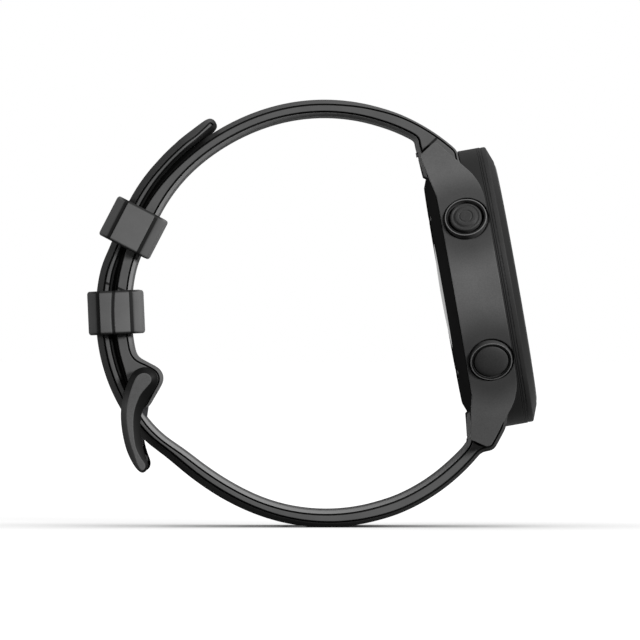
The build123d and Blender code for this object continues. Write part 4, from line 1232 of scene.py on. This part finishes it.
def strapLoops(node, strap):
    shape = strapShape
    sections = sectionLoops(node, shape["sectionAt"])
    outline = strapOutline(node, strap, sections[0])
    tipped = strap == "long"
    limits = levelled(bendLimit(outline, shape["bendShare"]), 3)
    deeper, soon = shape["tipLimit"]
    most, start, length = shape["tipEdge"]
    depths, outsides = [], []
    for (x, z), (inX, inZ), limit in zip(outline, inwards(outline), limits):
        outwards = -((x - loopCentre[0]) * inX + (z - loopCentre[1]) * inZ) / around(x, z)[1]
        share = outerShare(outwards)
        inner = shape["innerEdge"] - (shape["closer"] * doubling(x, z, strap) if tipped else 0)
        wanted = inner + (outerDepth(x, strap) - inner) * share
        if tipped:
            back = backFromTip(x, z)
            limit *= deeper if back < soon else 1
            wanted += most * clamped((start - back) / length)
        if fromHinge(x, z) < shape["hingeReach"]:
            wanted = shape["hingeEdge"]
        depths.append(max(min(wanted, limit), shape["leastEdge"]))
        outsides.append(shading(x, z, share, strap))
    shares = [1.0] * len(outline)
    radius = shape["tipRadius"]
    for index, point in enumerate(outline):
        if tipped and backFromTip(*point) < radius:
            off = radius - max(backFromTip(*point), 0)
            kept = shape["halfWidth"] - radius + sqrt(max(radius ** 2 - off ** 2, 0))
            shares[index] = kept / shape["halfWidth"]
    loops = [(outline, levelled(depths, 4), shares, outsides)]
    for hole in sections[1:]:
        if abs(signedArea(hole)) > 1.0:
            ring = evened(hole, shape["holeSpacing"], clockwise=True)
            plain = [1.0] * len(ring)
            loops.append((ring, [shape["holeEdge"]] * len(ring), plain, plain))
    return loops


holeShape = {
    "length": 4.8,
    "width": 3.2,
    "depth": 6.0,
    # where each slot stands, x and z, and how far it is turned
    "places": [
        (-0.988, 1.357, 173.86), (-6.603, 2.541, 162.32), (-11.948, 4.787, 153.28),
        (-17.001, 7.725, 146.35), (-21.662, 11.252, 139.42), (-25.733, 15.333, 129.0),
        (-28.811, 20.142, 116.25), (-30.752, 25.512, 103.49), (-31.511, 31.203, 92.08),
        (-31.173, 36.947, 81.18), (-29.755, 42.524, 70.34),
    ],
}


def holesTree():
    # slots standing on marked points, each turned along the strap
    graph, given = newTree("strap holes", [(name, "Float") for name in ("Length", "Width", "Depth")])
    length, width, depth = (given.out(name) for name in ("Length", "Width", "Depth"))
    corners = graph.node(
        "GeometryNodeCurvePrimitiveQuadrilateral", {"mode": "RECTANGLE"}, {"Width": length, "Height": width}
    )
    inputs = {"Curve": corners, "Radius": width * 0.4995, "Count": 8}
    rounded = graph.node("GeometryNodeFilletCurve", {"mode": "POLY"}, inputs)
    plate = graph.node("GeometryNodeFillCurve", {"mode": "NGONS"}, {"Curve": rounded})
    plug = graph.node("GeometryNodeExtrudeMesh", {"mode": "FACES"}, {"Mesh": plate, "Offset Scale": depth})
    flipped = graph.node("GeometryNodeFlipFaces", None, {"Mesh": plate})
    closed = graph.node("GeometryNodeJoinGeometry", None, {"Geometry": [plug, flipped]})
    inputs = {"Geometry": closed, "Translation": graph.joined(0.0, 0.0, depth * -0.5)}
    centred = graph.node("GeometryNodeTransform", None, inputs)
    turn = graph.node("GeometryNodeInputNamedAttribute", {"data_type": "FLOAT_VECTOR"}, {"Name": "turn"})
    inputs = {"Points": given.out("Geometry"), "Instance": centred, "Rotation": turn}
    return endedTree(graph, given, graph.node("GeometryNodeInstanceOnPoints", None, inputs))


def holeCutters():
    mesh = bpy.data.meshes.new("hole places")
    mesh.from_pydata([(x * mm, 0.0, z * mm) for x, z, _ in holeShape["places"]], [], [])
    withAttributes(mesh, {"turn": [(0.0, -radians(heading), 0.0) for _, _, heading in holeShape["places"]]})
    values = {key.capitalize(): holeShape[key] * mm for key in ("length", "width", "depth")}
    return runTree("strap_holes", mesh, holesTree(), values | {"Finish": finishes["strap"].material})


strapRooms = {
    # cut out of the straps: the case's round walls, the release levers' slots and the tongue's room
    "caseWall": [(0.0, -3.0), (20.35, -3.0), (20.35, 5.98), (21.25, 5.98), (21.25, 15.0), (0.0, 15.0)],
    "slot": {"front": (-5.0, 0.2), "twelve": (-0.5, 0.5), "side": (5.6, 9.1)},
    "slotPlaces": {"short_strap": (17.82, 56.558), "long_strap": (25.463, 13.43)},
    "tongue": ((-0.0278, -0.0013, 0.0155), (-0.0219, 0.0013, 0.0254)),
}


def slotCutter(node):
    # room for the release lever, open towards the wrist
    slot = strapRooms["slot"]
    x, z = strapRooms["slotPlaces"][node]
    spots = product(slot["front"], slot["twelve"], slot["side"])
    return hullMesh([Vector((x, y, z)) * mm + (front * v + twelve * s) * mm for v, s, y in spots])


def makeStraps():
    for strap, lastRoom in (("short", lambda: boxMesh(*strapRooms["tongue"])), ("long", holeCutters)):
        node = strap + "_strap"
        mesh = bandMesh(node + "_skin", strapLoops(node, strap), "strap", strapShape["halfWidth"], "strap")
        caseRoom = turnedMesh(strapRooms["caseWall"], caseOrigin, front, 160)
        mesh = carved(node, mesh, [caseRoom, slotCutter(node), lastRoom()])
        addPiece(node + "_skin", mesh, "strap", "case", [node])


keeperShape = {
    "width": 23.6,
    "length": 6.6,
    "bevel": 1.6,
    "round": 0.5,
    "roundSteps": 6,
    # the grooves and the rims take painted shade
    "groove": (0.55, 0.22),             # width and depth of the line along each side
    "rimReach": 0.6,                    # how far in from each side its rims are dark
    "rimFade": 14,
    "rimDark": 0.9,
    "innerLow": -3.06,
    "innerHigh": 2.87,
    "innerWidth": 10.4,
    "shift": 0.45,
    "middleRadius": 31.45,
    "free": (156.1, -3.5, 8.2),         # the angle round the loop, the tilt, and the depth
    "fixed": (180.6, 1.9, 8.18),
}


def keeperMesh(angle, tilt, depth):
    shape = keeperShape
    spot = Vector((cos(radians(angle)), 0, sin(radians(angle))))
    turn = radians(angle + tilt)
    out = Vector((cos(turn), 0, sin(turn)))
    along = Vector((-sin(turn), 0, cos(turn)))
    middle = Vector((loopCentre[0], 0, loopCentre[1])) + spot * shape["middleRadius"]
    halfDepth, halfWidth, bevel, shift = depth / 2, shape["width"] / 2, shape["bevel"], shape["shift"]
    flat = halfDepth - bevel
    wide, deep = shape["groove"]
    # a quarter of the outside: (depth, width, how much painted shade), then the other three and the middles
    # between them
    corner = [
        (flat - 0.3, halfWidth, 0), (flat - wide * 0.5, halfWidth - 0.01, 0),
        (flat - wide * 0.4, halfWidth - deep, 1), (flat + wide * 0.45, halfWidth - deep - 0.12, 1),
        (flat + wide * 0.6, halfWidth - 0.38, 0.6), (flat + 0.55, halfWidth - 0.55, 0.2),
        (halfDepth - 0.3, halfWidth - bevel + 0.3, 0),
        (halfDepth - 0.06, halfWidth - bevel - 0.06, 0), (halfDepth, halfWidth - bevel - 0.4, 0),
    ]
    outer = []
    for signD, signW in ((1, 1), (1, -1), (-1, -1), (-1, 1)):
        outer += [(d * signD, w * signW, dark) for d, w, dark in corner[::signD * signW]]
        outer.append((halfDepth * signD, 0.0, 0) if signD == signW else (0.0, halfWidth * signW, 0))
    inner = []
    for d, w, _ in outer:
        d = min(max(d - shift, shape["innerLow"]), shape["innerHigh"])
        inner.append((d, min(max(w, -shape["innerWidth"]), shape["innerWidth"])))
    half = shape["length"] / 2
    bends = [pi / 2 * step / shape["roundSteps"] for step in range(shape["roundSteps"] + 1)]
    rows = [(-half + shape["round"] * (1 - cos(bend)), shape["round"] * (1 - sin(bend))) for bend in bends]
    rows += [(-t, inset) for t, inset in rows[::-1]]
    shell = bmesh.new()
    crease = shell.verts.layers.float.new("crease")
    loops = []
    for t, inset in rows:
        loops.append([])
        for d, w, dark in outer:
            size = hypot(d / halfDepth, w / halfWidth) or 1
            pulledD = d - inset * d / halfDepth / size
            pulledW = w - inset * w / halfWidth / size
            vert = shell.verts.new((middle + out * (pulledD - shift) + along * t + across * pulledW) * mm)
            rim = min(inset * shape["rimFade"], 1) if abs(w) > halfWidth - shape["rimReach"] else 0
            vert[crease] = max(dark, rim * shape["rimDark"])
            loops[-1].append(vert)
    for t in (half, -half):
        loops.append([shell.verts.new((middle + out * d + along * t + across * w) * mm) for d, w in inner])
    for low, high in zip(loops, following(loops)):
        for i, after in enumerate(following(list(range(len(outer))))):
            shell.faces.new((low[i], low[after], high[after], high[i]))
    return closedUp(shell)


def makeKeepers():
    for node, finish, body in (("free", "keeper", "free_keeper"), ("fixed", "keeperSeam", "case")):
        name = node + "_keeper"
        addPiece(name + "_skin", keeperMesh(*keeperShape[node]), finish, body, [name])


clawShape = {
    "outline": [
        (-27.08, 23.39), (-27.89, 21.77), (-28.47, 19.92), (-28.84, 17.84), (-28.82, 15.77),
        (-28.47, 13.46), (-27.89, 11.38), (-26.97, 9.53), (-26.1, 8.45), (-25.5, 8.2), (-24.85, 8.75),
        (-24.72, 9.6), (-25.15, 10.8), (-25.58, 12.31), (-25.84, 13.9), (-25.93, 15.6), (-25.75, 17.1),
        (-25.3, 18.25), (-24.6, 19.5),
        (-23.8, 20.75), (-23.3, 21.9), (-23.35, 22.95), (-23.95, 23.75), (-24.9, 24.2), (-25.95, 24.1),
    ],
    "edges": ((1.1, 1.7), 0.9),         # the bevel's depth on the strap's side, low and high, and outside
    "spacing": 0.25,
    "bendShare": 0.6,
    "leastEdge": 0.08,
    "high": (15, 5),                    # where the strap's side starts to be high, and how soon it is
    "outsideBelow": (21, 2.5),
    "inner": 10.4,
    "outer": 12.2,
    "crossbar": (-25.978, 10.012),
    "crossbarRadius": 0.85,
    "crossbarReach": 11.3,
    "restWidth": 1.3,                   # half the flat on the crossbar, where the tongue rests
    "aim": -98.35,
    "tongue": (12.0, 12.9, 14.51),      # where the tongue's end is drawn back from, to, and was
}


def curvedThrough(points, steps):
    # a smooth closed line through the points
    line = []
    count = len(points)
    for i in range(count):
        a, b, c, d = (points[(i + k) % count] for k in (-1, 0, 1, 2))
        for step in range(steps):
            t = step / steps
            line.append(tuple(
                0.5 * (2 * b[k] + (c[k] - a[k]) * t + (2 * a[k] - 5 * b[k] + 4 * c[k] - d[k]) * t ** 2
                       + (3 * b[k] - a[k] - 3 * c[k] + d[k]) * t ** 3)
                for k in (0, 1)
            ))
    return line


def crossbarMesh():
    # the bar between the arms, flattened in the middle where the tongue rests on it
    bar = clawShape
    place = Vector((bar["crossbar"][0], 0, bar["crossbar"][1])) * mm
    radius, reach, rest = bar["crossbarRadius"], bar["crossbarReach"], bar["restWidth"]
    whole = turnedMesh([(0.0, -reach), (radius, -reach), (radius, reach), (0.0, reach)], place, across, 48)
    aim = radians(bar["aim"])
    along = Vector((cos(aim), 0, sin(aim)))
    off = Vector((sin(aim), 0, -cos(aim)))
    spots = product((-3, 3), (0.0, -3), (-rest, rest))
    corners = [place + (along * a - off * b + across * y) * mm for a, b, y in spots]
    return carved("crossbar", whole, [hullMesh(corners)])


def makeTongue():
    # the tongue's end is drawn back behind the arms
    aim = radians(clawShape["aim"])
    along = Vector((cos(aim), 0, sin(aim)))
    hinge = Vector((strapShape["hinge"][0], 0, strapShape["hinge"][1])) * mm
    start, end, reach = clawShape["tongue"]
    smoothCopy("buckle_bar", "plating")
    made = smoothCopy("buckle_tongue", "plating")
    for vert in made.data.vertices:
        away = (vert.co - hinge).dot(along) / mm
        if away > start:
            vert.co += along * ((start + (away - start) * (end - start) / (reach - start)) - away) * mm


def makeBuckle():
    line = relaxed(evened(curvedThrough(clawShape["outline"], 8), clawShape["spacing"]), 4)
    limits = levelled(bendLimit(line, clawShape["bendShare"]), 3)
    half = (clawShape["outer"] - clawShape["inner"]) / 2
    (innerLow, innerHigh), outer = clawShape["edges"]
    highFrom, highOver = clawShape["high"]
    outsideBelow, outsideOver = clawShape["outsideBelow"]
    sides, depths = [], []
    for (_, z), (inX, _), limit in zip(line, inwards(line), limits):
        side = outerShare(inX)
        inner = innerLow + (innerHigh - innerLow) * clamped((z - highFrom) / highOver)
        wanted = outer + (inner - outer) * (1 - side)
        # how the arm's bevel is painted: lighter where it faces outwards below a height, near black as shade
        # towards the strap
        sides.append(side * clamped((outsideBelow - z) / outsideOver))
        depths.append(max(min(wanted, limit), clawShape["leastEdge"]))
    arms = [(line, levelled(depths, 5), [1.0] * len(line), sides)]
    shape = bmesh.new()
    for sign in (-1, 1):
        arm = bandMesh("claw", arms, "claw", half, "buckle")
        for vert in arm.vertices:
            vert.co.y += sign * (clawShape["inner"] + half) * mm
        shape.from_mesh(arm)
    shape.from_mesh(crossbarMesh())
    mesh = smoothed(meshFrom(shape, "claws"))
    addPiece("buckle_frame_skin", mesh, "buckle", "buckle_frame", ["buckle_frame"])
    makeTongue()


def makeSpring(name):
    # a smooth copy of the spring that rides on no body, its place baked into its mesh
    made = smoothCopy(name, "steel", riding=False)
    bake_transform(made)


def makeSprings():
    for name, angle in buttonAngles.items():
        makeSpring(name + "_spring")
    for side in ("upper", "lower"):
        pin, spring = side + "_release_pin", side + "_bar_spring"
        makeSpring(spring)


caseShape = {
    # rings of (radius, height) about the case's axis for the bezel, and about each button's for the moat
    "bezel": [
        (21.15, 9.5), (21.15, 9.56), (21.08, 9.62), (21.15, 9.68), (21.15, 10.2), (21.1, 10.36),
        (20.95, 10.47), (18.95, 11.22), (18.84, 11.27), (18.72, 11.3), (18.5, 11.3), (18.45, 11.25),
        (18.45, 9.95), (17.4, 9.95), (17.4, 8.3), (18.45, 8.3), (18.45, 9.5),
    ],
    "moat": [(3.16, 20.75), (3.5, 20.75), (3.5, 23.0), (3.16, 23.0)],
    "lensAir": 0.03,
}


def makeShell():
    # the mid case, with a shallow moat round each button's collar
    buttonAxes = [buttonAxis(angle) for angle in buttonAngles.values()]
    mesh = meshFrom(joinedNode("mid_case"), "mid case")
    cutters = [turnedMesh(caseShape["moat"], buttonCentre, axis, 96, closed=True) for axis in buttonAxes]
    mesh = weighted(smoothed(carved("mid_case", mesh, cutters), 14))
    mesh = trueNormals(mesh, [(caseOrigin, front)] + [(buttonCentre, axis) for axis in buttonAxes])
    addPiece("mid_case_skin", mesh, "case_shell", nodes["mid_case"]["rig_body"], ["mid_case"])


def makeLens():
    # a hair of air behind the lens, so that it and the display don't share one face
    lens = smoothCopy("front_lens", "lens").data
    back = min((vertex.co - caseOrigin).dot(front) for vertex in lens.vertices)
    for vertex in lens.vertices:
        if (vertex.co - caseOrigin).dot(front) < back + 0.1 * mm:
            vertex.co += front * caseShape["lensAir"] * mm


def makeCase():
    makeShell()
    smoothCopy("rear_cover", "rear")
    makeLens()
    smoothCopy("sensor_window", "sensor_window")
    mesh = turnedMesh(caseShape["bezel"], caseOrigin, front, 256, closed=True)
    addPiece("bezel_skin", mesh, "bezel", nodes["bezel"]["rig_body"], ["bezel"])


buttonShape = {
    "stem": [
        (0.0, 17.75), (0.75, 17.75), (0.85, 17.85), (0.85, 18.15), (0.6, 18.17), (0.6, 18.5), (0.85, 18.53),
        (0.85, 21.05),
    ],
    "dome": [
        (2.52, 21.05), (2.58, 21.12), (2.58, 21.8), (2.5, 21.98), (2.3, 22.09), (1.9, 22.22), (1.3, 22.33),
        (0.6, 22.39), (0.0, 22.39),
    ],
    "rings": [
        (2.3, 21.05), (2.36, 21.12), (2.36, 21.95), (2.3, 22.1), (2.18, 22.18), (2.05, 22.2), (1.93, 22.12),
        (1.8, 22.12), (1.68, 22.22), (1.55, 22.37), (1.42, 22.4), (1.12, 22.4), (1.04, 22.3), (0.9, 22.3),
        (0.82, 22.38), (0.0, 22.4),
    ],
    "ringed": "left_upper_button",
}


def makeButtons():
    for name, angle in buttonAngles.items():
        face = "rings" if name == buttonShape["ringed"] else "dome"
        mesh = turnedMesh(buttonShape["stem"] + buttonShape[face], buttonCentre, buttonAxis(angle), 96)
        addPiece(name + "_skin", mesh, "buttons", name, [name])


stageLook = {
    "floorSize": 6,
    "floorGlow": (0.93, 1.1),           # the floor's own light, under the watch and from there on
    "floorReach": (0.05, 0.22),
    "floorLevel": 0.09,
    "contactReach": 0.035,
    "worldLevel": 0.025,
    "mirrored": 0.5,                    # how much of the pale room shows in gloss
    "lampsAim": (0.0, 0.0, 0.033),
    "lamps": {
        # place, size and power
        "key": ((1.2, -0.95, 0.58), 0.45, 56.0),
        "front": ((0.3, -1.4, 0.75), 0.35, 9.0),
        "top": ((0.15, -0.1, 1.0), 0.4, 3.0),
        "left": ((-1.25, -0.42, 0.3), 0.6, 9.0),
    },
    "camera": {"place": (0.00115, -1.56, 0.0313), "sensor": 36.0, "lens": 578.07},
}


def roomGraph(tree):
    # an empty tree, and how much of the pale room each kind of ray sees
    tree.nodes.clear()
    graph = Graph(tree)
    rays = graph.node("ShaderNodeLightPath")
    seen = graph.maths("MAXIMUM", rays.out("Is Camera Ray"), rays.out("Is Transmission Ray"))
    return graph, graph.maths("MAXIMUM", seen, rays.out("Is Glossy Ray") * stageLook["mirrored"])


def makeFloor():
    size = stageLook["floorSize"]
    corners = [(-size, -size, 0), (size, -size, 0), (size, size, 0), (-size, size, 0)]
    mesh = bpy.data.meshes.new("floor")
    mesh.from_pydata(corners, [], [(0, 1, 2, 3)])
    material = bpy.data.materials.new("pale floor")
    material.use_nodes = True
    graph, seen = roomGraph(material.node_tree)
    away = graph.vector("LENGTH", graph.node("ShaderNodeTexCoord", output="Object"), None, "Value")
    level = graph.step(away, *stageLook["floorReach"], *stageLook["floorGlow"])
    matte = graph.node("ShaderNodeBsdfDiffuse", None, {"Color": grey(stageLook["floorLevel"])})
    # ambient occlusion dims the floor's glow near the watch: a painted contact shadow
    inputs = {"Distance": stageLook["contactReach"]}
    openness = graph.node("ShaderNodeAmbientOcclusion", {"samples": 8}, inputs, "AO")
    glow = graph.node("ShaderNodeEmission", None, {"Color": grey(1.0), "Strength": seen * level * openness})
    both = graph.node("ShaderNodeAddShader", None, {0: matte, 1: glow})
    graph.node("ShaderNodeOutputMaterial", None, {"Surface": both})
    mesh.materials.append(material)
    linked("floor", mesh)


def makeWorld():
    world = bpy.data.worlds.new("studio")
    scene.world = world
    world.use_nodes = True
    graph, seen = roomGraph(world.node_tree)
    strength = seen * (1 - stageLook["worldLevel"]) + stageLook["worldLevel"]
    background = graph.node("ShaderNodeBackground", None, {"Color": grey(1.0), "Strength": strength})
    graph.node("ShaderNodeOutputWorld", None, {"Surface": background})


def makeLamps():
    for name, (place, size, power) in stageLook["lamps"].items():
        light = bpy.data.lights.new(name, "AREA")
        light.shape = "DISK"
        light.size = size
        light.energy = power
        lamp = linked(name, light)
        lamp.location = place
        aim = Vector(stageLook["lampsAim"]) - lamp.location
        lamp.rotation_euler = aim.to_track_quat("-Z", "Y").to_euler()


def makeCamera():
    view = stageLook["camera"]
    camera = bpy.data.cameras.new("camera")
    camera.sensor_width = view["sensor"]
    camera.lens = view["lens"]
    camera.clip_end = 20
    scene.camera = linked("camera", camera)
    scene.camera.location = view["place"]
    scene.camera.rotation_euler = (pi / 2, 0, 0)
    scene.view_settings.view_transform = "Standard"


dressCadNodes()
makeStraps()
print("straps made")
makeKeepers()
makeBuckle()
for pinName in ("upper_release_pin", "lower_release_pin"):
    smoothCopy(pinName, "plating")
print("keepers, buckle and release pins made")
makeCase()
makeButtons()
makeSprings()
print("case, buttons and springs made")
makeFloor()
makeWorld()
makeLamps()
makeCamera()
